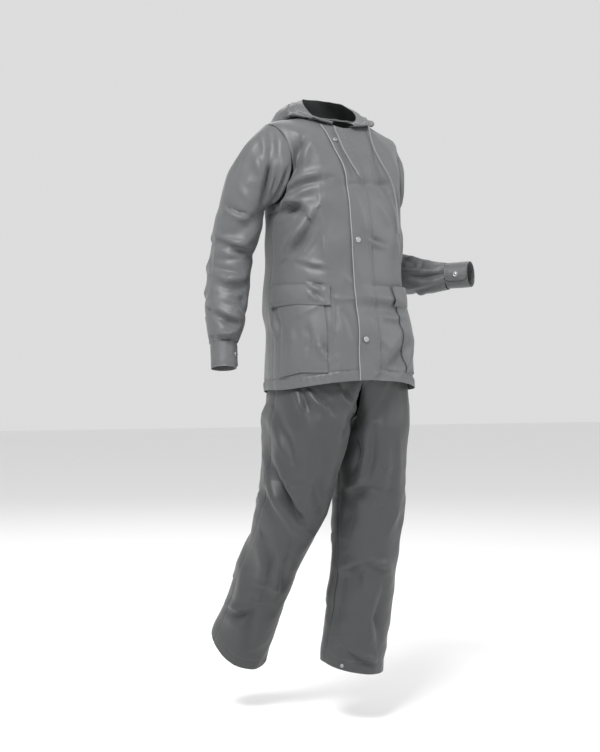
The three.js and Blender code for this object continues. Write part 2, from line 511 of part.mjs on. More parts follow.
const rightLoop = armholeLoop(180, -1);
const leftLoop = armholeLoop(0, 1);
const rightSleeve = sleeveRings({
  rows: RIGHT_SLEEVE, under: [1, 0, 0], loop: rightLoop, folds: RIGHT_SLEEVE_FOLDS, fullness: 1,
});
const leftSleeve = sleeveRings({
  rows: LEFT_SLEEVE, under: [-0.85, -0.4, -0.25], loop: leftLoop, folds: LEFT_SLEEVE_FOLDS, fullness: 0.88,
});
piece("sleeve_right", clothWall(rightSleeve, { closed: true, mirrored: true }), COATED_NYLON);
piece("sleeve_left", clothWall(leftSleeve, { closed: true }), COATED_NYLON);

// Cuffs: a band round each wrist whose rounded end laps over itself and is closed by a snap

function cuff(name, { centre, along, lapEnd, turnSign, radius }) {
  const axis = unit(along);
  const toLap = unit(add(lapEnd, axis, -dot(lapEnd, axis)));
  const beside = scale(cross(axis, toLap), turnSign);
  const lapAngle = CUFF_LAP / radius;
  const total = 2 * Math.PI + lapAngle;
  const pointAt = (angle, height, out) => {
    const size = radius - LAP_STEP * (angle / total) + out;
    const round = add(scale(toLap, Math.cos(angle)), beside, Math.sin(angle));
    return add(add(centre, axis, height), round, size);
  };
  const angles = [...CORNER_ANGLES, ...range(CUFF_COLUMNS).map((i) => mix(0.56, total, i / (CUFF_COLUMNS - 1)))];
  const grid = angles.map((angle) => {
    const fromEnd = Math.min(angle * radius, CUFF_CORNER);
    const cut = CUFF_CORNER - Math.sqrt(CUFF_CORNER ** 2 - (CUFF_CORNER - fromEnd) ** 2);
    return range(4).map((i) => pointAt(angle, mix(SEAM_GAP + cut, CUFF_HEIGHT - cut, i / 3), 0));
  });
  piece(name, clothWall(grid, { mirrored: turnSign < 0 }), COATED_NYLON);
  const snapAngle = CUFF_SNAP_INSET / radius;
  const seat = pointAt(snapAngle, CUFF_HEIGHT / 2, 0);
  const out = add(scale(toLap, Math.cos(snapAngle)), beside, Math.sin(snapAngle));
  snap(name.replace("cuff", "cuff_snap"), seat, out, SNAP_DIAMETER, SNAP_HEIGHT);
}

// A domed snap cap standing just off the cloth
function snap(name, seat, out, diameter, height) {
  const r = diameter / 2;
  const profile = [
    [0, 0], [r * 0.9, 0], [r, height * 0.3], [r * 0.94, height * 0.62],
    [r * 0.72, height * 0.8], [r * 0.4, height * 0.96], [0, height],
  ].map(([x, y]) => new THREE.Vector2(x, y));
  const mesh = piece(name, new THREE.LatheGeometry(profile, SNAP_SIDES), SNAP_METAL);
  mesh.position.set(...add(seat, out, SNAP_CLEARANCE));
  mesh.quaternion.setFromUnitVectors(new THREE.Vector3(0, 1, 0), new THREE.Vector3(...out));
}

cuff("cuff_right", {
  centre: [-277.1, -19.6, -517.4], along: [-0.06, -0.19, -0.98], lapEnd: [0.9, -0.4, 0],
  turnSign: 1, radius: 31,
});
cuff("cuff_left", {
  centre: [331.2, 8.8, -348.8], along: [0.635, -0.77, 0.05], lapEnd: [-0.454, -0.891, -0.42],
  turnSign: -1, radius: 33,
});

// Hood, folded down behind the neck: two halves that meet at the centre back

function hoodHalf(name, side, frontStart) {
  const grid = range(HOOD_COLUMNS).map((j) => {
    const share = 180 * (j / (HOOD_COLUMNS - 1)) ** HOOD_CROWDING;
    const place = placeOf(HOOD, "turn", share);
    const at = (key) => between(HOOD, key, place);
    const turn = 90 - side * mix(frontStart, 180, share / 180);
    const fold = at("foldLevel");
    const neckEdge = add(body(turn, LEVEL.neck), [0, 0, SEAM_GAP]);
    const hidden = range(5).map((i) => body(turn, mix(LEVEL.neck - HOOD_START, fold, i / 4), HOOD_CLEARANCE));
    const low = body(turn, fold - Math.min(HOOD_TURN, at("foldOut") / 90), HOOD_CLEARANCE + at("foldOut") / 2);
    const turned = body(turn, fold, HOOD_CLEARANCE + at("foldOut"));
    const angle = turn * RADIANS;
    const rim = [
      at("rimRadius") * Math.cos(angle),
      BODY[LEVEL.neck].middleY - at("rimRadius") * Math.sin(angle),
      at("rimHeight"),
    ];
    const away = unit([Math.cos(angle), -Math.sin(angle), HOOD_LEAN]);
    const outer = range(6).map((i) => {
      const t = (i + 1) / 6;
      return add(mixPoint(turned, rim, t), away, at("swell") * Math.sin(Math.PI * t) ** 0.8);
    });
    return [neckEdge, ...hidden, low, turned, ...outer];
  });
  const mirrored = side < 0;
  const keepSide = ([x, y, z]) => [y > 0 ? side * Math.max(side * x, SEAM_GAP / 2) : x, y, z];
  const trimmed = (layer) => layer.map((row) => row.map(keepSide));
  const inner = movedGrid(grid, mirrored ? -CLOTH : CLOTH);
  piece(name, wallGeometry(trimmed(grid), trimmed(inner), { mirrored }), COATED_NYLON);
}

hoodHalf("hood_left", 1, 13);
hoodHalf("hood_right", -1, 24);

// Storm flap over the front opening, sewn on the wearer's left, with piping on its free edge

const flapRow = (level) => {
  const free = between(FLAP_EDGE, "x", placeOf(FLAP_EDGE, "level", level));
  return { free, sewn: free + FLAP_WIDTH };
};
const flapLevels = [...range(18).map((i) => mix(0.03, 9, i / 17)), 9.8, 10.6, 11.4, 12.1];
const flapGrid = flapLevels.map((level) => {
  const { free, sewn } = flapRow(level);
  return range(5).map((j) => [turnAtX(mix(sewn, free, j / 4), level), level]);
});
piece("storm_flap", bodyWall(flapGrid, FLAP_OUT, false), COATED_NYLON);

function tubeAlong(points, diameter, sides, stepLength = diameter * 2.5) {
  const section = new THREE.Shape(range(sides).map((i) => {
    const angle = (2 * Math.PI * i) / sides;
    return new THREE.Vector2((diameter / 2) * Math.cos(angle), (diameter / 2) * Math.sin(angle));
  }));
  const path = new THREE.CatmullRomCurve3(points.map((point) => new THREE.Vector3(...point)));
  const steps = Math.min(Math.round(path.getLength() / stepLength), 80);
  return new THREE.ExtrudeGeometry(section, { steps, bevelEnabled: false, extrudePath: path });
}

const pipingRoute = flapLevels.map((level) =>
  frontPoint(flapRow(level).free - PIPING_DIAMETER / 2 - 2 * SEAM_GAP, level, PIPING_OUT));
piece("flap_piping", tubeAlong(pipingRoute, PIPING_DIAMETER, 6, 16), PIPING_NYLON);

for (const { name, height, inset } of FLAP_SNAPS) {
  const level = placeOf(BODY, "front", height);
  const x = flapRow(level).free + inset;
  const seat = frontPoint(x, level, FLAP_OUT);
  const out = unit(minus(frontPoint(x, level, FLAP_OUT + 5), seat));
  snap(name, seat, out, SNAP_DIAMETER, SNAP_HEIGHT);
}

// Pockets: a patch on each front and the flap over its mouth

function frontPatch(name, { centreTurn, top, height, width, out, sag, columns, rows }) {
  const halfTurn = width / 2 / BODY_RADIUS / RADIANS;
  const grid = range(rows).map((i) => range(columns).map((j) => {
    const across = (2 * j) / (columns - 1) - 1;
    const down = i / (rows - 1);
    const drop = height * down - sag * down * across * across;
    const level = placeOf(BODY, "front", top - drop - PATCH_TILT * Math.abs(across * halfTurn) * down);
    return [centreTurn + across * halfTurn, level];
  }));
  piece(name, bodyWall(grid, out, true), COATED_NYLON);
}

for (const [side, centreTurn] of [["left", POCKET_TURN], ["right", 180 - POCKET_TURN]]) {
  frontPatch(`pocket_${side}`, {
    centreTurn, top: POCKET_TOP, height: POCKET_HEIGHT, width: POCKET_WIDTH,
    out: POCKET_OUT, sag: 0, columns: 8, rows: 7,
  });
  frontPatch(`pocket_flap_${side}`, {
    centreTurn, top: POCKET_FLAP_TOP, height: POCKET_FLAP_HEIGHT, width: POCKET_FLAP_WIDTH,
    out: POCKET_FLAP_OUT, sag: POCKET_FLAP_SAG, columns: 9, rows: 4,
  });
}

// Drawcord: the two free ends that leave the hood's casing

piece("drawcord_right", tubeAlong(CORD_RIGHT_ROUTE, CORD_DIAMETER, 8), BRAIDED_CORD);
piece("drawcord_left", tubeAlong(CORD_LEFT_ROUTE, CORD_DIAMETER, 8), BRAIDED_CORD);

// Trousers

function hipPoint(side, share, back, z) {
  const place = placeOf(HIPS, "z", z);
  const at = (key) => between(HIPS, key, place);
  const angle = share * 90 * RADIANS;
  const depth = back ? at("backDepth") : -at("frontDepth");
  return [
    side * at("halfWidth") * power(Math.cos(angle), 2 / at("square")),
    at("middleY") + depth * power(Math.sin(angle), 2 / at("square")),
    z,
  ];
}

function legBase(rows, side, turn, place) {
  const at = (key) => between(rows, key, place);
  const pitch = at("pitch") * RADIANS;
  const roll = at("roll") * RADIANS;
  const outward = Math.cos(turn * RADIANS);
  const square = outward > 0 ? Math.min(at("square"), 2.2) : at("square");
  const a = at("across") * power(outward, 2 / square) * side;
  const d = at("deep") * power(Math.sin(turn * RADIANS), 2 / square);
  return [
    at("x") + a * Math.cos(roll),
    at("y") - d * Math.cos(pitch),
    at("z") - d * Math.sin(pitch) - a * Math.sin(roll),
  ];
}

function legPoint({ rows, side, folds }, turn, place) {
  const base = legBase(rows, side, turn, place);
  const out = [Math.cos(turn * RADIANS) * side, -Math.sin(turn * RADIANS), 0];
  const calm = Math.min(1, place, (rows.length - 1 - place) * 2);
  return add(base, out, calm * foldHeight(folds, "Height", LEG_DEGREE, turn, base[2]));
}

const FORK_ROWS = 6;
const HIP_ROWS = 6;
const LEG_ROWS = 15;
const LEG_COLUMNS = 9;
const LEG_PANEL_WIDTH = 200; // mean width of a leg panel, for the seam gap's share of it

function trouserPanel(name, leg, back) {
  const gapShare = SEAM_GAP / 2 / LEG_PANEL_WIDTH;
  const step = (1 - 2 * gapShare) / (LEG_COLUMNS - 1);
  const shares = range(LEG_COLUMNS + 2).map((j) => gapShare + step * (j - 1));
  const turnOf = (share) => (back ? 360 - 180 * share : 180 * share);
  const top = WAIST_TOP - WAISTBAND_HEIGHT - SEAM_GAP;
  const hip = range(HIP_ROWS).map((i) => {
    const z = mix(top, FORK_TOP, i / HIP_ROWS);
    return shares.map((share) => hipPoint(leg.side, share, back, z));
  });
  const fork = range(FORK_ROWS).map((i) => {
    const phase = ((Math.PI / 2) * i) / FORK_ROWS;
    const z = mix(FORK_TOP, CROTCH_HEIGHT, Math.sin(phase));
    return shares.map((share) => {
      const low = legPoint(leg, turnOf(share), 0);
      low[2] = z;
      const toLeg = mix(smooth(Math.sin(phase)), 1 - Math.cos(phase), Math.min(share * share, 1));
      return mixPoint(hipPoint(leg.side, share, back, z), low, toLeg);
    });
  });
  const legRows = range(LEG_ROWS + 1).map((i) => {
    const place = ((leg.rows.length - 1) * i) / LEG_ROWS;
    return shares.map((share) => legPoint(leg, turnOf(share), place));
  });
  const mirrored = back ? leg.side < 0 : leg.side > 0;
  const wide = [...hip, ...fork, ...legRows];
  const keepSide = ([x, y, z]) => [leg.side * Math.max(leg.side * x, SEAM_GAP / 2), y, z];
  const trimmed = (grid) => grid.map((row) => row.slice(1, -1).map(keepSide));
  const outer = trimmed(wide);
  const inner = trimmed(movedGrid(wide, mirrored ? -CLOTH : CLOTH));
  piece(name, wallGeometry(outer, inner, { mirrored }), TROUSER_NYLON);
}

const LEGS = {
  left: { rows: LEFT_LEG, side: 1, folds: LEFT_LEG_FOLDS },
  right: { rows: RIGHT_LEG, side: -1, folds: RIGHT_LEG_FOLDS },
};
for (const [side, leg] of Object.entries(LEGS)) {
  trouserPanel(`trouser_front_${side}`, leg, false);
  trouserPanel(`trouser_back_${side}`, leg, true);
  const place = leg.rows.length - 1 - ANKLE_SNAP_RISE;
  const seat = legPoint(leg, ANKLE_SNAP_TURN, place);
  const along = minus(legPoint(leg, ANKLE_SNAP_TURN, place - 0.1), seat);
  const round = minus(legPoint(leg, ANKLE_SNAP_TURN + 3, place), seat);
  const out = scale(unit(cross(along, round)), leg.side);
  snap(`ankle_snap_${side}`, seat, out, ANKLE_SNAP_DIAMETER, ANKLE_SNAP_HEIGHT);
}

// Elastic waistband, gathered all round
const bandColumns = 2 * WAISTBAND_GATHERS;
const bandGrid = range(3).map((i) => range(bandColumns).map((j) => {
  const z = WAIST_TOP - (WAISTBAND_HEIGHT * i) / 2;
  const share = (j / bandColumns) * 4;
  const quarter = Math.floor(share);
  const within = share - quarter;
  const side = quarter === 0 || quarter === 3 ? 1 : -1;
  const point = hipPoint(side, quarter % 2 === 0 ? within : 1 - within, quarter >= 2, z);
  const wave = GATHER_DEPTH * (j % 2 === 0 ? 1 : -1);
  return add(point, unit([point[0], point[1] - HIPS[0].middleY, 0]), wave);
}));
piece("waistband", clothWall(bandGrid, { closed: true, mirrored: true, thickness: WAISTBAND_THICKNESS }), TROUSER_NYLON);

export default suit;
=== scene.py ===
"""Worn rain suit: thin coated cloth with its creases, sewing, piping, snaps and drawcord."""

import math

import bpy
import numpy as np
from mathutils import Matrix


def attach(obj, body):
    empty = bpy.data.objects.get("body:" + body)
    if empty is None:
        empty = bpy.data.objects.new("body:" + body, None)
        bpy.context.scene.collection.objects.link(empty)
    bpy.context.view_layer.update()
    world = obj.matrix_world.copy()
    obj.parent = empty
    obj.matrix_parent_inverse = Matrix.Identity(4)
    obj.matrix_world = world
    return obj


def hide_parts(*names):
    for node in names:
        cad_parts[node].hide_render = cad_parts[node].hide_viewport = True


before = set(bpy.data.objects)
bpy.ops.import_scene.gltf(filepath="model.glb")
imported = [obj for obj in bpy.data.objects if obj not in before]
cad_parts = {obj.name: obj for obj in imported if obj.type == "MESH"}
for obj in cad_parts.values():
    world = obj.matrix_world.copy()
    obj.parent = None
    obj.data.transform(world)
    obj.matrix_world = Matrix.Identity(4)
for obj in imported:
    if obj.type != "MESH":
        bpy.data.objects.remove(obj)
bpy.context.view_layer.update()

bl_info = {
    "name": "Worn Rain Suit",
    "version": (1, 0, 0),
    "blender": (4, 5, 0),
    "location": "View3D > Sidebar > Rain Suit",
    "description": "Builds the cloth and trimmings of a hooded rain suit around its frame",
    "category": "Object",
}

# Sizes are in millimetres and turns in degrees, until the meshes are made in metres
MM = 0.001
SEAM_GAP = 0.1
POINT_SPACING = 3.4  # between neighbouring points of a pocket
SHARP_EDGE = 55

# The view that the creases are placed from, as the photograph was taken
VIEW_TURN = math.radians(-27)
VIEW_DISTANCE = 3800
VIEW_SHIFT = -67
VIEW_HEIGHT = -590
VIEW_LENS = 78.4
SENSOR = 36
FRAME_WIDTH = 600
FRAME_HEIGHT = 752
FLOOR_HEIGHT = -1400
PIXEL = 2.32  # millimetres of cloth behind one pixel of that view

TO_VIEWER = np.array([math.sin(VIEW_TURN), -math.cos(VIEW_TURN), 0.0])
TO_RIGHT = np.array([math.cos(VIEW_TURN), math.sin(VIEW_TURN), 0.0])
VIEW_POINT = TO_VIEWER * VIEW_DISTANCE + TO_RIGHT * VIEW_SHIFT + np.array([0, 0, VIEW_HEIGHT])
PIXELS_FOCAL = VIEW_LENS / SENSOR * FRAME_HEIGHT


class Table:
    """Named columns with a smooth curve through their rows."""

    halvings = 24

    def __init__(self, names, rows):
        self.columns = dict(zip(names.split(), np.array(rows, float).T))
        self.last = len(rows) - 1

    def at(self, name, place):
        """Value of a column at places counted in rows, whole or between them."""
        column = self.columns[name]
        place = np.asarray(place, float)
        i = np.clip(np.floor(place).astype(int), 0, self.last - 1)
        t = np.clip(place - i, 0, 1)
        p, q, r, s = (column[np.clip(i + k, 0, self.last)] for k in (-1, 0, 1, 2))
        return q + 0.5 * t * (r - p + t * (2 * p - 5 * q + 4 * r - s + t * (3 * (q - r) + s - p)))

    def place_of(self, name, value):
        """Place at which a column that only rises or only falls has a value."""
        column = self.columns[name]
        rising = column[-1] > column[0]
        value = np.asarray(value, float)
        low = np.zeros_like(value)
        high = np.full_like(value, self.last)
        for _ in range(self.halvings):
            middle = (low + high) / 2
            below = (self.at(name, middle) < value) == rising
            low = np.where(below, middle, low)
            high = np.where(below, high, middle)
        return (low + high) / 2


# Jacket body, one row a level from the hem to the neckline, in millimetres and degrees
BODY = Table(
    "side front back middle_x middle_y half_width front_depth back_depth square twist roll",
    [
        (-622, -600, -640, 2, -48, 169, 152, 154, 2.35, 0, 0),
        (-560, -550, -570, -0.5, -46, 165.5, 149, 148, 2.35, 0, 0),
        (-490, -486, -494, -1.5, -44, 162.5, 147, 143, 2.35, 0, 0),
        (-410, -410, -410, -5.5, -29, 160.5, 146, 138, 2.35, 0, 0),
        (-335, -335, -335, -3.5, -26, 156.5, 142, 132, 2.3, 1, 0),
        (-265, -265, -265, -3.5, -24, 158.5, 140, 130, 2.3, 2, 0),
        (-205, -205, -205, -3.5, -22, 159.5, 138, 126, 2.3, 3, 1),
        (-150, -158, -150, -5, -18, 163, 136, 126, 2.3, 4, 2),
        (-100, -120, -100, -5, -14, 168, 128, 122, 2.25, 5, 3),
        (-58, -90, -58, -6, -10, 170, 118, 112, 2.2, 5, 3.5),
        (-31, -68, -30, -4, -8, 166, 104, 98, 2.1, 5, 3.5),
        (-17, -50, -10, 0, -6, 138, 91, 84, 2, 4, 3),
        (-6, -36, 4, 0, -5, 102, 80, 70, 2, 2, 1.5),
        (4, -23, 14, 0, -5, 67, 68, 58, 2, 0, 0),
    ],
)
# Rows of that table, and how far the armhole opens to each side of the body's own side
ARMPIT = 6
SHOULDER_TIP = 10
NECK = 13
ARMHOLE_SPREAD = 30
BODY_RADIUS = 162

# Millimetres that one degree round a piece is taken to be, on the charts of its creases
BODY_DEGREE = 2.9
SLEEVE_DEGREE = 0.9
LEG_DEGREE = 1.45

SLEEVE_COLUMNS = "x y z across deep to_x to_y to_z"
RIGHT_SLEEVE = Table(
    SLEEVE_COLUMNS,
    [
        (-224, 0, -216, 50, 62, -0.1, 0.12, -0.98),
        (-230, 14, -262, 51, 62, -0.12, 0.25, -0.96),
        (-235.5, 26, -305, 50, 60, -0.17, 0.12, -0.97),
        (-243, 24, -350, 48, 57, -0.18, -0.1, -0.97),
        (-252, 14, -395, 47, 54, -0.18, -0.2, -0.96),
        (-261, 2, -440, 46, 51, -0.16, -0.22, -0.96),
        (-269, -10, -482, 41, 44, -0.13, -0.22, -0.97),
        (-276, -19.5, -518, 31, 35, -0.08, -0.2, -0.97),
    ],
)
LEFT_SLEEVE = Table(
    SLEEVE_COLUMNS,
    [
        (157, 108, -208, 38, 48, 0.14, 0.42, -0.89),
        (171, 127, -254, 42, 50, 0.2, 0.4, -0.9),
        (187, 140, -297, 46, 51, 0.32, 0.25, -0.92),
        (208, 142, -326, 50, 51, 0.56, -0.35, -0.6),
        (236, 122, -340, 52, 49, 0.65, -0.72, -0.2),
        (262, 92, -345, 48, 45, 0.64, -0.76, -0.1),
        (290, 58, -349, 42, 41, 0.64, -0.77, -0.04),
        (314, 29, -351, 37, 37, 0.64, -0.77, 0.02),
        (331, 9, -350.5, 33.5, 33, 0.64, -0.77, 0.04),
    ],
)

# Folded hood, one row an angle from the front's middle round to the back seam
HOOD = Table(
    "turn fold_level rim_radius rim_height fold_out swell",
    [
        (9, 12.6, 62, -12, 5, 2),
        (28, 12.25, 61, -5, 6, 3),
        (55, 12.1, 60, 10, 7, 4),
        (85, 12.05, 61, 28, 8, 6),
        (110, 11.85, 63, 44, 10, 9),
        (130, 10.9, 68, 53, 14, 15),
        (148, 9.2, 75, 58, 19, 23),
        (165, 7.3, 81, 61, 24, 29),
        (180, 6.6, 83, 62, 26, 30),
    ],
)
HOOD_CLEARANCE = 6.8
HOOD_START = 0.3
HOOD_TURN = 0.12
HOOD_LEAN = 0.35
RIM_MIDDLE = 5
HOOD_HALVES = {"left": (1, 13), "right": (-1, 24)}  # side, and the turn at which its edge starts

# Seat of the trousers, then each leg from the crotch to the hem
HIPS = Table(
    "z middle_y half_width front_depth back_depth square",
    [
        (-345, -30, 128, 98, 98, 2.2),
        (-384, -32, 130, 101, 100, 2.2),
        (-470, -36, 145, 122, 118, 2.25),
        (-560, -42, 154, 134, 132, 2.25),
        (-640, -46, 158, 137, 137, 2.25),
        (-720, -44, 160, 136, 137, 2.25),
    ],
)
LEG_NAMES = "x y z across deep square pitch roll"
RIGHT_LEG = Table(
    LEG_NAMES,
    [
        (-84, -37, -705, 81.8, 134, 3.2, 0, 0),
        (-88, -30, -765, 80, 114, 2.8, 4, 0),
        (-94, -20, -830, 78, 95, 2.4, 10, 1),
        (-98, 9, -900, 74, 82, 2.2, 22, 1),
        (-101, 52, -963, 71, 75, 2.1, 34, 1),
        (-103, 98, -1015, 67, 71, 2.1, 38, 1),
        (-104, 140, -1075, 67, 70, 2.1, 36, 1),
        (-106, 184, -1140, 68, 70, 2.1, 35, 2),
        (-109, 226, -1199, 69, 71, 2.1, 39, 5),
        (-111, 253, -1242, 69, 71, 2.1, 47, 10),
    ],
)
LEFT_LEG = Table(
    LEG_NAMES,
    [
        (82, -37, -705, 79.8, 134, 3.2, 0, 0),
        (83, -38, -765, 77.5, 114, 2.8, -2, 0),
        (84, -38, -824, 77, 100, 2.4, -3, 1),
        (84.5, -28, -916, 76.5, 90, 2.2, 2, 2),
        (84, -19, -1009, 74, 84, 2.1, 5, 3),
        (80, -3, -1102, 74, 82, 2.1, 9, 4),
        (75, 12, -1195, 73, 82, 2.1, 9, 5),
        (72, 23, -1266, 73, 82, 2.1, 9, 6),
    ],
)
CROTCH_HEIGHT = -705
FORK_TOP = -560
TROUSER_TOP = -384.3

# Free edge of the storm flap, at the body's levels
FLAP_EDGE = Table(
    "level x",
    [
        (0, -29), (1, -25), (2, -22), (3, -20), (4, -26), (5, -31), (6, -34),
        (7, -38), (8, -46), (9, -56), (10, -61), (11, -60.5), (12, -59), (13, -55),
    ],
)
FLAP_WIDTH = 48
FLAP_OUT = 3
PIPING_DIAMETER = 3
PIPING_OUT = 2.6

# Free ends of the hood's drawcord, as their solids lie
CORD_DIAMETER = 4.6
CORD_RIGHT_ROUTE = [
    (-30.8, -84.1, -24.5), (-32.5, -89.6, -28.3), (-34, -94.7, -33.2), (-34.8, -99, -38.5),
    (-35.2, -104.5, -44), (-35.3, -109, -49), (-35.4, -114, -54.5), (-35.8, -119, -60.5),
    (-36, -124.5, -67), (-35.8, -129, -73), (-35, -133.3, -80), (-32.8, -138.5, -89.2),
    (-29, -143.2, -98.8), (-25.4, -147, -108), (-21.6, -150.4, -117), (-15, -154.8, -129.7),
    (-8, -158.4, -142),
]
CORD_LEFT_ROUTE = [
    (66, -70.5, -15.9), (66, -74, -23), (64.5, -79.5, -32), (62.8, -85, -40), (61.2, -91, -48),
    (59.8, -97, -55.5), (58.8, -103, -63), (58.2, -109, -70.5), (58.2, -115, -78.5),
    (59.2, -121.5, -88), (61.5, -127.5, -98), (65.5, -131.5, -107.5), (70, -134.5, -117),
    (75.5, -136.8, -127), (80.8, -138.3, -137.5), (87, -139.4, -151), (91.5, -140.3, -165),
    (95, -141.2, -180), (97.2, -142.3, -195), (98.6, -144, -212), (99.2, -145.4, -230),
    (100, -146.5, -250), (102, -147, -268),
]

# Creases are drawn as lines. Those that the photograph shows are in pixels of its view,
# those of the hidden sides in degrees round and millimetres of height or length of the piece.
# form: "fold" lights one side and shades the other, "trough" and "ridge" are soft, "crease" is sharp
# and narrow, and "bend" is the wide, sharp-topped line that cloth keeps from being packed flat.
# Each row is (form, width in mm, depth in mm, points). The body's solids have the first list's folds.
CAD_BODY_FOLDS = [
    ("trough", 17, -6, [(146, -45), (143, -120)]),
    ("trough", 19, -6, [(160, -222), (118, -180)]),
    ("ridge", 24, 6, [(163, -300), (122, -200)]),
    ("trough", 20, -6, [(30, -230), (66, -165)]),
    ("ridge", 20, 6, [(62, -575), (36, -515)]),
    ("trough", 22, -6, [(205, -250), (245, -190)]),
    ("trough", 22, -6, [(335, -260), (296, -200)]),
    ("ridge", 26, 6, [(212, -450), (262, -365)]),
    ("ridge", 26, 6, [(325, -455), (280, -385)]),
]
SEEN_ON_JACKET = [
    ("trough", 11, -8, [(304, 134), (298, 148), (296, 160), (293, 176)]),
    ("ridge", 9, 5, [(312, 136), (306, 152), (303, 172)]),
    ("trough", 14, -9, [(289, 172), (281, 188), (276, 204), (274, 224)]),
    ("trough", 5, -7, [(303, 137), (298, 150), (294, 166), (290, 180)]),
    ("trough", 7, -6, [(272, 214), (284, 211), (296, 207), (303, 212)]),
    ("trough", 6, -4, [(318, 212), (308, 224), (296, 242)]),
    ("bend", 14, 5, [(308, 138), (316, 152), (323, 165)]),
    ("fold", 9, -7, [(284, 194), (296, 183), (310, 179), (326, 176)]),
    ("ridge", 9, 5, [(281, 201), (298, 193), (318, 184)]),
    ("fold", 12, -8, [(277, 210), (288, 205), (300, 206), (306, 214)]),
    ("ridge", 10, 4, [(283, 220), (296, 214), (306, 222)]),
    ("fold", 11, 7, [(316, 212), (310, 222), (298, 240), (286, 257)]),
    ("ridge", 11, 5, [(312, 214), (300, 231), (288, 248)]),
    ("trough", 12, -4, [(328, 222), (316, 244), (300, 264)]),
    ("bend", 9, 5, [(318, 174), (321, 212), (325, 256), (328, 285)]),
    ("fold", 6, -3, [(300, 262), (312, 266), (326, 268)]),
    ("bend", 30, -13, [(340, 185), (366, 183), (402, 185)]),
    ("bend", 8, -3, [(366, 284), (386, 287), (407, 287)]),
    ("bend", 9, 3, [(340, 270), (348, 281), (356, 284)]),
    ("bend", 8, 3, [(329, 297), (345, 300), (362, 302)]),
    ("fold", 13, -5, [(358, 301), (384, 304), (408, 308)]),
    ("fold", 5, 4, [(311, 284), (317, 287), (323, 289)]),
    ("fold", 4.5, 4, [(310, 292), (315, 296), (320, 299)]),
    ("bend", 6, 3, [(322, 303), (308, 311), (294, 318)]),
    ("fold", 7, 3, [(331, 296), (333, 312), (333, 334)]),
    ("trough", 8, -5, [(306, 322), (309, 336), (307, 352)]),
    ("ridge", 9, 4, [(291, 328), (293, 342), (290, 358)]),
    ("fold", 5, 6, [(273, 310), (275, 322), (277, 336)]),
    ("fold", 5, 5, [(321, 342), (322, 350), (325, 356)]),
    ("bend", 9, 3, [(336, 352), (340, 362), (338, 376)]),
    ("fold", 12, 4, [(412, 328), (402, 344), (390, 358), (380, 372)]),
    ("fold", 10, -3, [(414, 352), (404, 364), (396, 378)]),
    ("ridge", 10, 3, [(380, 338), (388, 346), (392, 350)]),
    ("fold", 9, -3, [(380, 318), (394, 322), (410, 318)]),
    ("fold", 5, 4, [(372, 240), (377, 243), (382, 245)]),
    ("fold", 6, 4, [(399, 238), (402, 250), (406, 262)]),
    ("ridge", 12, 4, [(380, 200), (392, 228), (396, 262)]),
    ("trough", 10, -4, [(372, 146), (379, 172), (392, 196)]),
    ("bend", 9, 3, [(356, 190), (362, 214), (366, 238)]),
    ("trough", 9, -4, [(340, 306), (350, 322), (357, 345)]),
]
SEEN_ON_RIGHT_SLEEVE = [
    ("fold", 10, 5, [(264, 124), (269, 140), (270, 156), (268, 174)]),
    ("trough", 10, -10, [(268, 172), (266, 190), (266, 204), (268, 222)]),
    ("fold", 8, 4, [(257, 150), (261, 164), (266, 182)]),
    ("trough", 5, -9, [(264, 128), (268, 142), (269, 158), (267, 178), (266, 200), (267, 216)]),
    ("trough", 5, -8, [(290, 164), (284, 182), (276, 198), (270, 210)]),
    ("trough", 5, -6, [(279, 160), (276, 180), (271, 202)]),
    ("ridge", 10, 4, [(276, 128), (279, 146), (279, 166)]),
    ("bend", 7, 3, [(242, 183), (254, 182), (265, 181)]),
    ("bend", 7, 4, [(237, 184), (247, 198), (258, 212)]),
    ("fold", 8, -6, [(214, 238), (234, 246), (258, 250)]),
    ("ridge", 10, 5, [(222, 252), (240, 258), (256, 254)]),
    ("bend", 8, 4, [(218, 226), (215, 250), (215, 278)]),
    ("fold", 10, -8, [(212, 276), (226, 284), (244, 283), (252, 274)]),
    ("trough", 14, -7, [(236, 296), (246, 300), (254, 290)]),
    ("fold", 8, -8, [(211, 309), (226, 317), (242, 324)]),
    ("ridge", 9, 6, [(216, 302), (232, 308), (244, 314)]),
    ("fold", 8, -8, [(214, 336), (228, 337), (242, 330)]),
    ("ridge", 9, 6, [(216, 342), (228, 336), (240, 331)]),
    ("fold", 6, 5, [(222, 206), (236, 214), (250, 218)]),
    ("trough", 12, -4, [(232, 140), (236, 160), (230, 184)]),
]
SEEN_ON_LEFT_SLEEVE = [
    ("fold", 7, -5, [(398, 273), (420, 275), (436, 273), (452, 268)]),
    ("trough", 5, -4, [(400, 274), (420, 276), (436, 274), (450, 270)]),
    ("fold", 7, -4, [(404, 262), (412, 261), (420, 257)]),
    ("bend", 6, 3, [(406, 266), (414, 262), (424, 258)]),
    ("bend", 6, -3, [(414, 276), (420, 268), (424, 258)]),
    ("ridge", 7, 3, [(438, 260), (444, 264), (448, 270)]),
    ("fold", 6, -3, [(404, 292), (424, 288), (446, 280)]),
    ("trough", 6, -3, [(444, 258), (446, 266), (452, 278)]),
]
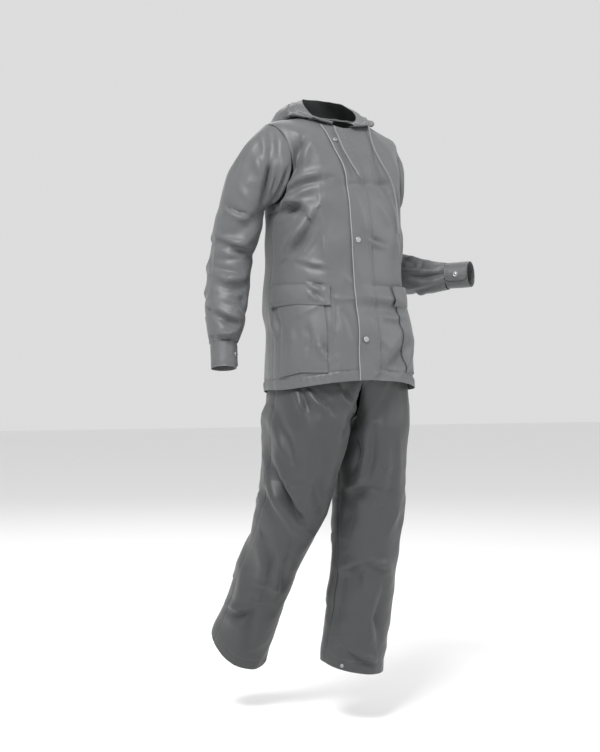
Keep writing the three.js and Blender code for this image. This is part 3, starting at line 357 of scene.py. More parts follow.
SEEN_ON_TROUSERS = [
    ("fold", 12, 11, [(262, 452), (270, 482), (284, 507), (296, 524), (308, 531)]),
    ("ridge", 11, 6, [(272, 448), (281, 478), (296, 500), (310, 520)]),
    ("trough", 16, -9, [(258, 470), (268, 500), (286, 520)]),
    ("fold", 9, 5, [(274, 412), (282, 436), (291, 462)]),
    ("ridge", 10, 4, [(266, 408), (272, 434), (280, 462)]),
    ("fold", 7, 5, [(298, 388), (302, 402), (306, 414)]),
    ("fold", 7, 6, [(311, 392), (320, 402), (331, 413)]),
    ("ridge", 11, 4, [(318, 404), (332, 402), (346, 398)]),
    ("fold", 7, 6, [(340, 388), (345, 398), (350, 406)]),
    ("fold", 13, 8, [(366, 372), (356, 402), (344, 438)]),
    ("trough", 7, -9, [(369, 378), (358, 404), (343, 440)]),
    ("trough", 5, -7, [(268, 456), (276, 482), (290, 506), (302, 524)]),
    ("trough", 5, -5, [(277, 420), (284, 440), (292, 462)]),
    ("trough", 6, -6, [(353, 436), (358, 452), (352, 476)]),
    ("trough", 9, -4, [(342, 493), (356, 490), (378, 488)]),
    ("bend", 8, 4, [(360, 573), (376, 576), (394, 571)]),
    ("bend", 7, -3, [(376, 493), (390, 491), (402, 492)]),
    ("bend", 7, 3, [(378, 466), (386, 467), (396, 465)]),
    ("bend", 7, 3, [(372, 512), (382, 514), (390, 511)]),
    ("ridge", 9, 4, [(398, 430), (399, 470), (396, 500)]),
    ("bend", 10, 4, [(330, 404), (322, 416), (320, 428)]),
    ("trough", 13, -6, [(352, 430), (356, 450), (350, 480)]),
    ("bend", 8, -3.5, [(276, 482), (294, 485), (310, 486)]),
    ("bend", 8, 3.5, [(284, 507), (298, 509), (313, 509)]),
    ("bend", 9, 4, [(254, 582), (268, 586), (281, 592)]),
    ("ridge", 14, 5, [(310, 430), (306, 470), (312, 500)]),
    ("trough", 14, -6, [(326, 440), (322, 474), (318, 510)]),
    ("fold", 13, -6, [(342, 494), (356, 491), (372, 489)]),
    ("trough", 18, -7, [(350, 500), (346, 520), (342, 540)]),
    ("trough", 20, -6, [(342, 548), (350, 580), (354, 620)]),
    ("fold", 14, -6, [(334, 572), (348, 572), (364, 565)]),
    ("ridge", 10, 8, [(366, 560), (378, 564), (392, 565)]),
    ("trough", 24, -11, [(334, 548), (336, 590), (332, 640)]),
    ("bend", 9, 5, [(402, 498), (394, 520), (385, 541)]),
    ("ridge", 13, 6, [(388, 430), (386, 470), (376, 505)]),
    ("trough", 12, -7, [(374, 420), (372, 456), (364, 488)]),
    ("fold", 9, 6, [(380, 590), (372, 618), (376, 646)]),
    ("fold", 8, -6, [(346, 650), (360, 660), (378, 664)]),
    ("fold", 11, 5, [(262, 540), (268, 566), (262, 592)]),
    ("ridge", 12, 6, [(244, 560), (240, 590), (232, 622)]),
    ("trough", 12, -7, [(256, 600), (250, 626), (250, 652)]),
    ("fold", 8, -6, [(222, 606), (238, 612), (256, 606)]),
    ("fold", 10, 4, [(288, 548), (280, 572), (278, 600)]),
]

HIDDEN_ON_JACKET = [
    ("fold", 9, 5, [(206, -175), (222, -230), (232, -300)]),
    ("fold", 8, -4, [(214, -160), (240, -190), (262, -235)]),
    ("ridge", 9, 4, [(330, -190), (306, -215), (288, -262)]),
    ("fold", 8, 4, [(338, -230), (318, -290), (310, -350)]),
    ("crease", 2.6, 1.4, [(270, -150), (270, -380), (269, -600)]),
    ("crease", 2.6, 1.4, [(214, -400), (262, -404), (324, -398)]),
    ("fold", 9, 4, [(232, -440), (250, -480), (256, -540)]),
    ("fold", 8, -4, [(300, -430), (290, -490), (294, -560)]),
    ("fold", 6, 3, [(334, -520), (320, -556), (300, -580)]),
    ("fold", 7, 4, [(16, -250), (34, -300), (44, -350)]),
]
HIDDEN_ON_SLEEVES = [
    ("fold", 8, 4, [(205, 60), (240, 110), (300, 150)]),
    ("fold", 7, -4, [(190, 210), (240, 236), (310, 226)]),
    ("fold", 7, 4, [(200, 262), (260, 290), (330, 276)]),
    ("fold", 6, -4, [(196, 340), (250, 352), (320, 330)]),
    ("crease", 2.6, 1.3, [(270, 40), (268, 180), (272, 330)]),
    ("fold", 6, 3, [(220, 395), (280, 410), (340, 400)]),
]
HIDDEN_ON_LEGS = [
    ("fold", 10, 3, [(340, -640), (312, -690), (280, -720)]),
    ("fold", 9, -5, [(196, -720), (232, -760), (270, -780)]),
    ("fold", 9, 4, [(332, -860), (300, -880), (262, -905)]),
    ("fold", 8, -5, [(210, -960), (250, -985), (300, -990)]),
    ("fold", 8, 5, [(230, -1050), (270, -1075), (320, -1068)]),
    ("crease", 2.6, 1.4, [(270, -800), (271, -950), (269, -1150)]),
    ("fold", 7, 4, [(215, -1120), (250, -1150), (300, -1160)]),
    ("crease", 2.6, -1.4, [(200, -1000), (260, -1004), (340, -998)]),
]
# Rows of the hood are in millimetres along its edge and from that edge
HOOD_CREASES = [
    ("fold", 6, -4, [(8, 30), (40, 34), (80, 28)]),
    ("bend", 7, 3, [(14, 48), (50, 56), (84, 44)]),
    ("fold", 9, 5, [(60, 80), (120, 60), (170, 90)]),
    ("fold", 8, -4, [(130, 130), (190, 110), (240, 140)]),
    ("ridge", 10, 5, [(180, 60), (230, 80), (290, 70)]),
    ("fold", 8, 4, [(40, 40), (90, 46), (140, 36)]),
]

CREASE_DEPTH = 1.5  # how much deeper than its row says each crease is built
CREASE_REACH = 4  # widths of a crease beyond which it leaves the cloth alone
CREASE_SHAPES = {
    "fold": lambda s: s * np.exp(0.5 * (1 - s * s)) + 0.45 * np.exp(-np.abs(s) * 3),
    "crease": lambda s: np.exp(-np.sqrt(s * s + 0.05) * 1.8),
    "bend": lambda s: np.exp(-np.sqrt(s * s + 0.02) * 1.3),
    "trough": lambda s: np.exp(-s * s),
    "ridge": lambda s: np.exp(-s * s),
}

# Fine crumple of each cloth: its depth, the length of its waves, and the seed of its draws
CRUMPLES = {
    "body": (1.1, 75, 3),
    "sleeve": (1.2, 60, 8),
    "cuff": (0.35, 30, 12),
    "hood": (1.2, 50, 21),
    "trousers": (1.3, 85, 31),
}
CRUMPLE_WAVES = 14

# A surface takes the photograph's creases where it faces the view by more than the first value,
# and takes them whole where it faces it by the second value more
FACING_FROM = 0.17
FACING_SPAN = 0.5


def unit(vectors):
    return vectors / np.maximum(np.linalg.norm(vectors, axis=-1, keepdims=True), 1e-9)


def power(value, exponent):
    return np.sign(value) * np.abs(value) ** exponent


def photo_place(points):
    """Pixel of the photograph's view that each point is seen at."""
    way = points - VIEW_POINT
    depth = -(way @ TO_VIEWER)
    x = FRAME_WIDTH / 2 + PIXELS_FOCAL * (way @ TO_RIGHT) / depth
    y = FRAME_HEIGHT / 2 - PIXELS_FOCAL * way[..., 2] / depth
    return np.stack([x, y], axis=-1)


def crease_height(place, rows, scale):
    """Millimetres that creases lift the cloth, at places on a flat chart that scale turns to mm."""
    place = place * scale
    height = np.zeros(place.shape[:-1])
    for form, width, depth, points in rows:
        line = np.array(points, float) * scale
        reach = CREASE_REACH * width
        near = np.all((place > line.min(0) - reach) & (place < line.max(0) + reach), axis=-1)
        spot = place[near]
        if not len(spot):
            continue
        best = np.full(len(spot), 1e9)
        signed = np.zeros(len(spot))
        along = np.zeros(len(spot))
        start = 0
        for a, b in zip(line[:-1], line[1:]):
            length = math.dist(a, b)
            way = (b - a) / length
            t = np.clip((spot - a) @ way, 0, length)
            gap = spot - a - t[:, None] * way
            away = np.hypot(gap[:, 0], gap[:, 1])
            side = np.sign(way[0] * gap[:, 1] - way[1] * gap[:, 0])
            closer = away < best
            best = np.where(closer, away, best)
            signed = np.where(closer, side * away, signed)
            along = np.where(closer, start + t, along)
            start += length
        share = along / start
        fade = np.sin(math.pi * np.clip(share, 0.05, 0.95)) ** 0.7
        uneven = 0.85 + 0.15 * np.sin(9 * share + depth + points[0][0])
        height[near] += depth * fade * uneven * CREASE_SHAPES[form](signed / width)
    return height * bpy.context.scene.rain_suit_sizes.crease_strength * CREASE_DEPTH


def chart_creases(turn, height, rows, degree):
    """Creases of the hidden sides, from rows in degrees round a piece and its height or length."""
    flat = []
    for form, width, depth, points in rows:
        flat.append((form, width, depth, [(round_way * degree, up) for round_way, up in points]))
    return crease_height(np.stack([turn * degree, height], axis=-1), flat, 1)


def both_creases(points, normals, seen, turn, height, hidden, degree):
    """Creases that the view shows where the cloth faces it, and those of the hidden sides elsewhere."""
    shown = facing(normals)
    lift = crease_height(photo_place(points), seen, PIXEL) * shown
    return lift + chart_creases(turn, height, hidden, degree) * (1 - shown)


def cad_fold_height(turn, height, rows, degree):
    """The folds that the solids already have, on the same chart."""
    total = np.zeros(np.broadcast(turn, height).shape)
    for _, width, depth, (start, end) in rows:
        spin = np.round((turn - start[0]) / 360) * 360
        run = (end[0] - start[0]) * degree
        if abs(run) > 180 * degree:
            run -= math.copysign(360 * degree, run)
        rise = end[1] - start[1]
        reach_x = (turn - spin - start[0]) * degree
        reach_y = height - start[1]
        length = math.hypot(run, rise)
        t = np.clip((reach_x * run + reach_y * rise) / length**2, 0, 1)
        away = np.hypot(reach_x - run * t, reach_y - rise * t)
        fade = 0.35 + 0.65 * np.sin(math.pi * np.clip(t, 0.08, 0.92))
        total += depth * fade * np.exp(-((away / width) ** 2))
    return total


def crumple(points, depth, length, seed):
    """Crumple of coated cloth: soft waves and sharp-topped lines in all directions."""
    draw = np.random.default_rng(seed)
    height = np.zeros(points.shape[:-1])
    for _ in range(CRUMPLE_WAVES):
        way = draw.normal(size=3)
        way /= np.linalg.norm(way)
        wave = length * draw.uniform(0.5, 1.9)
        bend = 1.6 * np.sin(points @ draw.normal(size=3) * 0.8 / wave + draw.uniform(0, 6))
        swing = np.sin(math.pi * (points @ way) / wave + bend + draw.uniform(0, 6))
        patch = 0.5 + 0.5 * np.sin(points @ draw.normal(size=3) / (1.3 * length) + draw.uniform(0, 6))
        height += (0.6 - np.sqrt(swing * swing + 0.004)) * patch * (wave / length) ** 0.7
    return depth * height


def grid_normals(points, flipped, closed=False):
    """Outward direction at each point of a grid."""
    rows = np.gradient(points, axis=0)
    if closed:
        columns = np.roll(points, -1, axis=1) - np.roll(points, 1, axis=1)
    else:
        columns = np.gradient(points, axis=1)
    normals = unit(np.cross(rows, columns))
    return -normals if flipped else normals


def facing(normals):
    """How fully a surface shows in the photograph's view, from 0 to 1."""
    share = np.clip((normals @ TO_VIEWER - FACING_FROM) / FACING_SPAN, 0, 1)
    return share * share * (3 - 2 * share)


def body_base(turn, level):
    """Point of the body without its folds, the way out from its middle there, and its height."""
    turn, level = np.broadcast_arrays(np.asarray(turn, float), np.asarray(level, float))
    c = np.cos(np.radians(turn))
    s = np.sin(np.radians(turn))
    at = {name: BODY.at(name, level) for name in BODY.columns}
    depth = np.where(s > 0, at["front_depth"], at["back_depth"])
    x = at["half_width"] * power(c, 2 / at["square"])
    y = -depth * power(s, 2 / at["square"])
    z = at["side"] + (np.where(s > 0, at["front"], at["back"]) - at["side"]) * s * s
    twist = np.radians(at["twist"])
    point = np.stack(
        [
            at["middle_x"] + x * np.cos(twist) - y * np.sin(twist),
            at["middle_y"] + x * np.sin(twist) + y * np.cos(twist),
            z - x * np.tan(np.radians(at["roll"])),
        ],
        axis=-1,
    )
    reach = np.stack([x / at["half_width"], y / depth, np.zeros_like(x)], axis=-1)
    return point, reach, z


def body_normal(turn, level):
    safe = np.clip(level, 0.06, NECK - 0.06)
    around = body_base(turn + 1, safe)[0] - body_base(turn - 1, safe)[0]
    up = body_base(turn, safe + 0.05)[0] - body_base(turn, safe - 0.05)[0]
    return unit(np.cross(up, around))


def body(turn, level, out=0.0):
    """Point of the body with the solids' own folds, moved out from it by a distance."""
    point, reach, z = body_base(turn, level)
    lift = cad_fold_height(turn, z, CAD_BODY_FOLDS, BODY_DEGREE)
    return point + reach * lift[..., None] + body_normal(turn, level) * np.asarray(out)[..., None]


def turn_at_x(x, level):
    """Turn at which the front of the body has a distance from its middle."""
    ratio = np.minimum(np.abs(x) / BODY.at("half_width", level), 1)
    turn = np.degrees(np.arccos(ratio ** (BODY.at("square", level) / 2)))
    return np.where(x > 0, turn, 180 - turn)


def jacket_creases(points, normals, turn):
    """Creases that run on across the body, its flap and its pockets alike."""
    seen = crease_height(photo_place(points), SEEN_ON_JACKET, PIXEL) * facing(normals)
    hidden = chart_creases(turn, points[..., 2], HIDDEN_ON_JACKET, BODY_DEGREE)
    return seen + hidden + crumple(points, *CRUMPLES["body"])


# Millimetres of every stitched seam
SEAM_GROOVE = 2.2  # half of its width
PUCKER_HEIGHT = 0.35
PUCKER_REACH = 7


def seam_pucker(distance, along, depth=0.9, wave=13.0):
    """A stitched line: a narrow groove, with small puckers that die out beside it."""
    groove = -depth * np.exp(-((distance / SEAM_GROOVE) ** 2))
    ripple = PUCKER_HEIGHT * np.sin(2 * math.pi * along / wave + 2 * np.sin(along / 37))
    return groove + ripple * np.exp(-np.abs(distance) / PUCKER_REACH)


def lengths(points, axis):
    """Millimetres along each row or column of a grid, from its first point."""
    steps = np.linalg.norm(np.diff(points, axis=axis), axis=-1)
    start = np.zeros_like(np.take(steps, [0], axis=axis))
    return np.concatenate([start, np.cumsum(steps, axis=axis)], axis=axis)


EASINGS = 24


def even_rows(points, count):
    """The same grid with its rows evenly spaced along each column, and short kinks eased."""
    run = lengths(points, 0)
    fine = np.linspace(0, 1, count)
    grid = np.empty((count, *points.shape[1:]))
    for column in range(points.shape[1]):
        place = fine * run[-1, column]
        for axis in range(3):
            grid[:, column, axis] = np.interp(place, run[:, column], points[:, column, axis])
    for _ in range(EASINGS):
        grid[1:-1] = 0.5 * grid[1:-1] + 0.25 * (grid[:-2] + grid[2:])
    return grid


def link(obj):
    bpy.context.scene.collection.objects.link(obj)
    return obj


def mesh_object(name, points, faces, material):
    """A smooth mesh from points in millimetres."""
    mesh = bpy.data.meshes.new(name)
    mesh.from_pydata((np.asarray(points) * MM).tolist(), [], faces)
    mesh.materials.append(material)
    mesh.shade_smooth()
    mesh.set_sharp_from_angle(angle=math.radians(SHARP_EDGE))
    mesh.update()
    return link(bpy.data.objects.new(name, mesh))


def shell_faces(rows, columns, closed, flipped):
    """Faces of the outer side, the inner side and the rims of a thin shell."""
    grid = np.arange(rows * columns).reshape(rows, columns)
    if closed:
        grid = np.concatenate([grid, grid[:, :1]], axis=1)
    a, b, c, d = grid[:-1, :-1], grid[1:, :-1], grid[1:, 1:], grid[:-1, 1:]
    inner = rows * columns
    quads = [np.stack([a, b, c, d], -1), np.stack([a, d, c, b], -1) + inner]
    for low, high in ((grid[0, :-1], grid[0, 1:]), (grid[-1, 1:], grid[-1, :-1])):
        quads.append(np.stack([low, high, high + inner, low + inner], -1))
    if not closed:
        for low, high in ((grid[1:, 0], grid[:-1, 0]), (grid[:-1, -1], grid[1:, -1])):
            quads.append(np.stack([low, high, high + inner, low + inner], -1))
    faces = np.concatenate([quad.reshape(-1, 4) for quad in quads])
    return (faces[:, ::-1] if flipped else faces).tolist()


def shell_thickness():
    """Millimetres of cloth that are set."""
    return bpy.context.scene.rain_suit_sizes.shell_thickness / MM


def cloth_piece(
    name, points, normals, kind="jacket", thickness=None, closed=False, flipped=False
):
    """A thin shell of cloth, from a grid of points to the same grid moved in."""
    rows, columns = points.shape[:2]
    inner = points - normals * (thickness or shell_thickness())
    layers = np.concatenate([points.reshape(-1, 3), inner.reshape(-1, 3)])
    faces = shell_faces(rows, columns, closed, flipped)
    piece = mesh_object(name + "_cloth", layers, faces, materials()[kind])
    settle(piece, [name])


def settle(piece, nodes):
    """Says which body a piece rides on and which solids it stands for."""
    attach(piece, "root")
    if nodes:
        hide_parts(*nodes)


STITCH_LENGTH = 3.0
STITCH_STEP = 4.4
STITCH_WIDTH = 0.7
STITCH_SUNK = 0.15
STITCH_RISE = 0.4
STITCH_TAPER = 0.2  # share of the stitch's length that slopes at each end
STITCH_SIDES = ((0, 3, 2, 1), (4, 5, 6, 7), (0, 1, 5, 4), (1, 2, 6, 5), (2, 3, 7, 6), (3, 0, 4, 7))


def along_line(place, run, values):
    """Values at a distance along a line, from those at its points."""
    return np.stack([np.interp(place, run, values[:, k]) for k in range(3)], -1)


def stitches(name, lines):
    """Thread along lines of points on the cloth: a short raised stitch at each step."""
    points = []
    faces = []
    for line, normals in lines:
        run = lengths(line[None], 1)[0]
        for start in np.arange(STITCH_STEP, run[-1] - STITCH_STEP, STITCH_STEP):
            a = along_line(start, run, line)
            b = along_line(start + STITCH_LENGTH, run, line)
            up = unit(along_line(start, run, normals))
            side = unit(np.cross(up, b - a)) * STITCH_WIDTH / 2
            faces += [[len(points) + k for k in face] for face in STITCH_SIDES]
            low = -STITCH_SUNK * up
            high = STITCH_RISE * up
            slope = STITCH_TAPER * (b - a)
            points += [a + side + low, b + side + low, b - side + low, a - side + low]
            for end, way in ((a, 1), (b, -1)):
                points.append(end + way * slope + 0.5 * side + high)
            for end, way in ((b, -1), (a, 1)):
                points.append(end + way * slope - 0.5 * side + high)
    settle(mesh_object(name, np.array(points), faces, materials()["thread"]), [])


def srgb(code):
    """Linear colour of an sRGB hex value."""
    parts = [int(code[k : k + 2], 16) / 255 for k in (1, 3, 5)]
    line = [v / 12.92 if v <= 0.04045 else ((v + 0.055) / 1.055) ** 2.4 for v in parts]
    return (*line, 1.0)


def add_node(tree, kind, links=(), **values):
    """A shader node with its settings, its socket values and the links into it."""
    node = tree.nodes.new(kind)
    for name, value in values.items():
        if hasattr(node, name):
            setattr(node, name, value)
        else:
            node.inputs[name.replace("_", " ")].default_value = value
    for name, socket in links:
        tree.links.new(socket, node.inputs[name])
    return node


def new_material(name):
    material = bpy.data.materials.new(name)
    material.use_nodes = True
    tree = material.node_tree
    tree.nodes.clear()
    return material, tree


def finish_material(tree, links=(), **values):
    """The shader with its socket values, and the output."""
    shader = add_node(tree, "ShaderNodeBsdfPrincipled", links, **values)
    add_node(tree, "ShaderNodeOutputMaterial", [("Surface", shader.outputs["BSDF"])])


# Sizes of the patterns in millimetres. Handling leaves patches of about 36 mm. The weave's threads of
# 0.3 mm are too fine to show, so crumple of about 5 mm is drawn in their place.
MOTTLE_SIZE = 35.7
MOTTLE_RANGE = (0.93, 1.07)
CRUMPLE_SIZE = 4.76
PIPING_RIB = 0.982
CORD_BRAID = 1.208
THREAD_TWIST = 0.349
WAVE_SPACING = math.pi / 10  # metres between two bands of a wave texture of scale 1


def object_noise(tree, size, detail):
    """Noise on the object whose patches have a size in millimetres."""
    place = add_node(tree, "ShaderNodeTexCoord")
    links = [("Vector", place.outputs["Object"])]
    return add_node(tree, "ShaderNodeTexNoise", links, Scale=1 / (size * MM), Detail=detail)


def coated_nylon(name, colour):
    """Coated nylon taffeta, calendered: a tight flat weave with a soft sheen, mottled by handling."""
    material, tree = new_material(name)
    mottle = object_noise(tree, MOTTLE_SIZE, 4.0)
    shade = add_node(tree, "ShaderNodeMix", [("Factor", mottle.outputs["Fac"])], data_type="RGBA")
    for socket, share in zip((6, 7), MOTTLE_RANGE):
        shade.inputs[socket].default_value = [v * share for v in srgb(colour)[:3]] + [1]
    fine = object_noise(tree, CRUMPLE_SIZE, 3.0)
    bump = add_node(
        tree, "ShaderNodeBump", [("Height", fine.outputs["Fac"])], Strength=0.25, Distance=0.6 * MM
    )
    links = [("Base Color", shade.outputs[2]), ("Normal", bump.outputs["Normal"])]
    finish_material(tree, links, Roughness=0.5, IOR=1.4, Sheen_Weight=0.1, Sheen_Roughness=0.5)
    return material


def threads(name, colour, roughness, size):
    """Woven, braided or twisted yarn: matt, with its threads as fine bump."""
    material, tree = new_material(name)
    place = add_node(tree, "ShaderNodeTexCoord")
    links = [("Vector", place.outputs["Object"])]
    scale = WAVE_SPACING / (size * MM)
    weave = add_node(tree, "ShaderNodeTexWave", links, Scale=scale, Distortion=2.0)
    bump = add_node(
        tree, "ShaderNodeBump", [("Height", weave.outputs["Fac"])], Strength=0.5, Distance=0.5 * MM
    )
    finish_material(tree, [("Normal", bump.outputs["Normal"])], Base_Color=srgb(colour), Roughness=roughness)
    return material


def plated_brass(name, colour):
    """Nickel-plated brass, pressed: pale and smooth, a soft mirror."""
    material, tree = new_material(name)
    finish_material(tree, Base_Color=srgb(colour), Metallic=1.0, Roughness=0.5)
    return material


# Material that each kind of cloth takes its finish from
MATERIALS = {}


def materials():
    """The materials by use, made on the first call from the colours that are set."""
    if not MATERIALS:
        look = bpy.context.scene.rain_suit_look
        MATERIALS["jacket"] = coated_nylon("coated_nylon_taffeta", look.jacket_colour)
        MATERIALS["trousers"] = coated_nylon("coated_nylon_trousers", look.trouser_colour)
        MATERIALS["piping"] = threads("woven_piping", look.piping_colour, 0.6, PIPING_RIB)
        MATERIALS["cord"] = threads("braided_cord", look.cord_colour, 0.75, CORD_BRAID)
        MATERIALS["thread"] = threads("polyester_thread", look.thread_colour, 0.5, THREAD_TWIST)
        MATERIALS["snap"] = plated_brass("nickel_plated_brass", look.snap_colour)
    return MATERIALS


ROWS_TO_ARMPIT = 160
ROWS_OF_ARMHOLE = 56
ROWS_OF_SHOULDER = 34


def panel_levels():
    """Levels of a panel's rows, close together where its armhole starts and ends."""
    lower = np.linspace(0, ARMPIT, ROWS_TO_ARMPIT)[:-1]
    phase = np.linspace(0, math.pi, ROWS_OF_ARMHOLE)[:-1]
    middle = ARMPIT + (SHOULDER_TIP - ARMPIT) * (1 - np.cos(phase)) / 2
    upper = np.linspace(SHOULDER_TIP, NECK, ROWS_OF_SHOULDER)
    return np.concatenate([lower, middle, upper])


def armhole_spread(level):
    """Degrees that the armhole opens to each side of the body's own side."""
    t = (level - ARMPIT) / (SHOULDER_TIP - ARMPIT)
    return np.where((t > 0) & (t < 1), ARMHOLE_SPREAD * np.sqrt(np.clip(1 - (2 * t - 1) ** 2, 0, 1)), 0)


HEM_BAND = 23
HEM_THICKER = 1.0
HEM_PUCKER = 1.1
HEM_CORD_HEIGHT = 14  # of the drawn-in line within the band
HEM_CORD_REACH = 9
JACKET_PANELS = {
    "jacket_front_left": (0, 90, 76),
    "jacket_front_right": (90, 180, 76),
    "jacket_back": (180, 360, 150),
}


def jacket_panel(name, from_turn, to_turn, columns):
    """Builds a panel of the jacket body with its seams and its hem, and gives its line of stitches."""
    level = panel_levels()[:, None]
    gap = np.degrees(SEAM_GAP / 2 / BODY.at("half_width", level))
    spread = armhole_spread(level)
    start = from_turn + gap + (spread if from_turn % 180 == 0 else 0)
    end = to_turn - gap - (spread if to_turn % 180 == 0 else 0)
    turn = start + (end - start) * np.linspace(0, 1, columns)[None, :]
    level = np.broadcast_to(level, turn.shape)
    points = body(turn, level)
    normals = grid_normals(points, False)
    lift = jacket_creases(points, normals, turn)
    up = lengths(points, 0)
    across = lengths(points, 1)
    for edge in (across, across[:, -1:] - across):
        lift += seam_pucker(edge, up)
    lift += seam_pucker(up - HEM_BAND, across, depth=1.8) + HEM_THICKER * (up < HEM_BAND)
    pucker = np.sin(across / 2.4 + 2 * np.sin(across / 31)) * (0.6 + 0.4 * np.sin(across / 47))
    lift += HEM_PUCKER * pucker * np.exp(-(((up - HEM_CORD_HEIGHT) / HEM_CORD_REACH) ** 2))
    points = points + normals * lift[..., None]
    cloth_piece(name, points, grid_normals(points, False))
    row = int(np.argmin(np.abs(up[:, columns // 2] - HEM_BAND)))
    return points[row], normals[row]


SLEEVE_POINTS = 104  # round each ring
CAP_RINGS = 26
RINGS_A_ROW = 16


def armhole_loop(side_turn, front_sign):
    """Points of an armhole's edge, and the way that the sleeve leaves from each."""
    phase = 2 * math.pi * np.arange(SLEEVE_POINTS) / SLEEVE_POINTS
    rise = (1 - np.cos(phase)) / 2
    level = ARMPIT + (SHOULDER_TIP - ARMPIT) * rise
    turn = side_turn + front_sign * ARMHOLE_SPREAD * np.sin(phase)
    start = body(turn, level)
    normal = body_normal(turn, level)
    to_middle = body(np.array(side_turn, float), np.array((ARMPIT + SHOULDER_TIP) / 2)) - start
    in_plane = unit(to_middle - normal * (to_middle * normal).sum(-1, keepdims=True))
    leave = unit(normal * (1 - 0.75 * rise)[:, None] + in_plane * rise[:, None])
    return start + in_plane * 2 * SEAM_GAP, leave


def sleeve_grid(table, under, loop, folds, fullness):
    """Rings of a sleeve: a smooth cap from the armhole, then the rings of its table."""
    start, leave = loop
    places = np.linspace(0, table.last, RINGS_A_ROW * table.last + 1)
    inward = np.array(under, float)
    rings = []
    outs = []
    alongs = []
    angle = 2 * math.pi * np.arange(SLEEVE_POINTS) / SLEEVE_POINTS
    for place in places:
        at = {name: float(table.at(name, place)) for name in table.columns}
        along = unit(np.array([at["to_x"], at["to_y"], at["to_z"]]))
        inward = unit(inward - along * (inward @ along))
        forward = unit(np.cross(inward, along))
        if forward[1] > 0:
            forward = -forward
        out = np.cos(angle)[:, None] * inward + np.sin(angle)[:, None] * forward
        flat = at["across"] * np.cos(angle)[:, None] * inward + at["deep"] * np.sin(angle)[:, None] * forward
        rings.append(np.array([at["x"], at["y"], at["z"]]) + flat)
        outs.append(out)
        alongs.append(along)
    cap = []
    reach = np.linalg.norm(rings[0] - start, axis=-1, keepdims=True)
    for t in np.linspace(0, 1, CAP_RINGS + 1)[:-1]:
        curve = (2 * t**3 - 3 * t * t + 1, t**3 - 2 * t * t + t, 3 * t * t - 2 * t**3, t**3 - t * t)
        ring = start * curve[0] + leave * curve[1] * reach * fullness
        cap.append(ring + rings[0] * curve[2] + alongs[0] * curve[3] * reach)
    grid = np.array(cap + rings)
    out = np.array([outs[0]] * len(cap) + outs)
    middles = grid.mean(axis=1)
    along = np.concatenate([[0], np.cumsum(np.linalg.norm(np.diff(middles, axis=0), axis=-1))])
    rank = np.concatenate([np.arange(len(cap)) / len(cap), 1 + places])
    calm = np.minimum(1, np.minimum(rank, table.last + 1 - rank))
    turn = np.degrees(angle)[None, :]
    lift = cad_fold_height(turn, along[:, None], folds, SLEEVE_DEGREE)
    return grid + out * (calm[:, None] * lift)[..., None], along


# Folds that the sleeves' solids have too, in degrees round and millimetres along
RIGHT_SLEEVE_FOLDS = [
    ("trough", 13, -7, [(30, 120), (150, 205)]),
    ("ridge", 12, 6, [(40, 165), (160, 250)]),
    ("trough", 11, -6, [(20, 232), (140, 268)]),
    ("trough", 11, -6, [(60, 310), (175, 285)]),
    ("trough", 11, -6, [(25, 385), (150, 352)]),
    ("trough", 13, -7, [(215, 240), (330, 205)]),
    ("ridge", 13, 5, [(210, 330), (335, 350)]),
]
LEFT_SLEEVE_FOLDS = [
    ("trough", 10, -7, [(60, 335), (70, 480)]),
    ("ridge", 12, 6, [(120, 330), (100, 420)]),
    ("trough", 11, -7, [(35, 300), (120, 292)]),
    ("trough", 12, -6, [(215, 270), (320, 300)]),
    ("trough", 13, -6, [(200, 150), (330, 210)]),
]
SLEEVES = {
    "right": dict(
        table=RIGHT_SLEEVE, under=(1, 0, 0), side_turn=180, front_sign=-1, folds=RIGHT_SLEEVE_FOLDS,
        fullness=1, seen=SEEN_ON_RIGHT_SLEEVE, flipped=True,
    ),
    "left": dict(
        table=LEFT_SLEEVE, under=(-0.85, -0.4, -0.25), side_turn=0, front_sign=1, folds=LEFT_SLEEVE_FOLDS,
        fullness=0.88, seen=SEEN_ON_LEFT_SLEEVE, flipped=False,
    ),
}
ARMHOLE_SEAM = 1.5  # from the sleeve's edge
WRIST_GATHER = 12
WRIST_WAVE = 15
WRIST_WAVE_HEIGHT = 0.9
WRIST_DRAWN_IN = 1.2


def sleeve(name, table, under, side_turn, front_sign, folds, fullness, seen, flipped):
    """Builds a sleeve from the armhole to the gathers at its cuff."""
    grid, along = sleeve_grid(table, under, armhole_loop(side_turn, front_sign), folds, fullness)
    normals = grid_normals(grid, flipped, True)
    turn = np.broadcast_to(np.arange(SLEEVE_POINTS) * 360 / SLEEVE_POINTS, grid.shape[:2])
    height = np.broadcast_to(along[:, None], turn.shape)
    lift = both_creases(grid, normals, seen, turn, height, HIDDEN_ON_SLEEVES, SLEEVE_DEGREE)
    lift += crumple(grid, *CRUMPLES["sleeve"])
    run = lengths(grid, 0)
    around = lengths(grid, 1)
    lift += seam_pucker(run - ARMHOLE_SEAM, around, depth=2.6, wave=15)
    gather = np.exp(-(((run[-1:] - run) / WRIST_GATHER) ** 2))
    wave = WRIST_WAVE_HEIGHT * np.sin(2 * math.pi * around / WRIST_WAVE)
    lift += wave * gather - WRIST_DRAWN_IN * gather
    grid = grid + normals * lift[..., None]
    cloth_piece(name, grid, grid_normals(grid, flipped, True), closed=True, flipped=flipped)


CUFF_HEIGHT = 57
CUFF_LAP = 34
CUFF_CORNER = 15
CUFF_THICKNESS = 1.3
CUFF_ROWS = 20
CUFF_SEAM = 4  # from each edge
LAP_STEP = 3.4
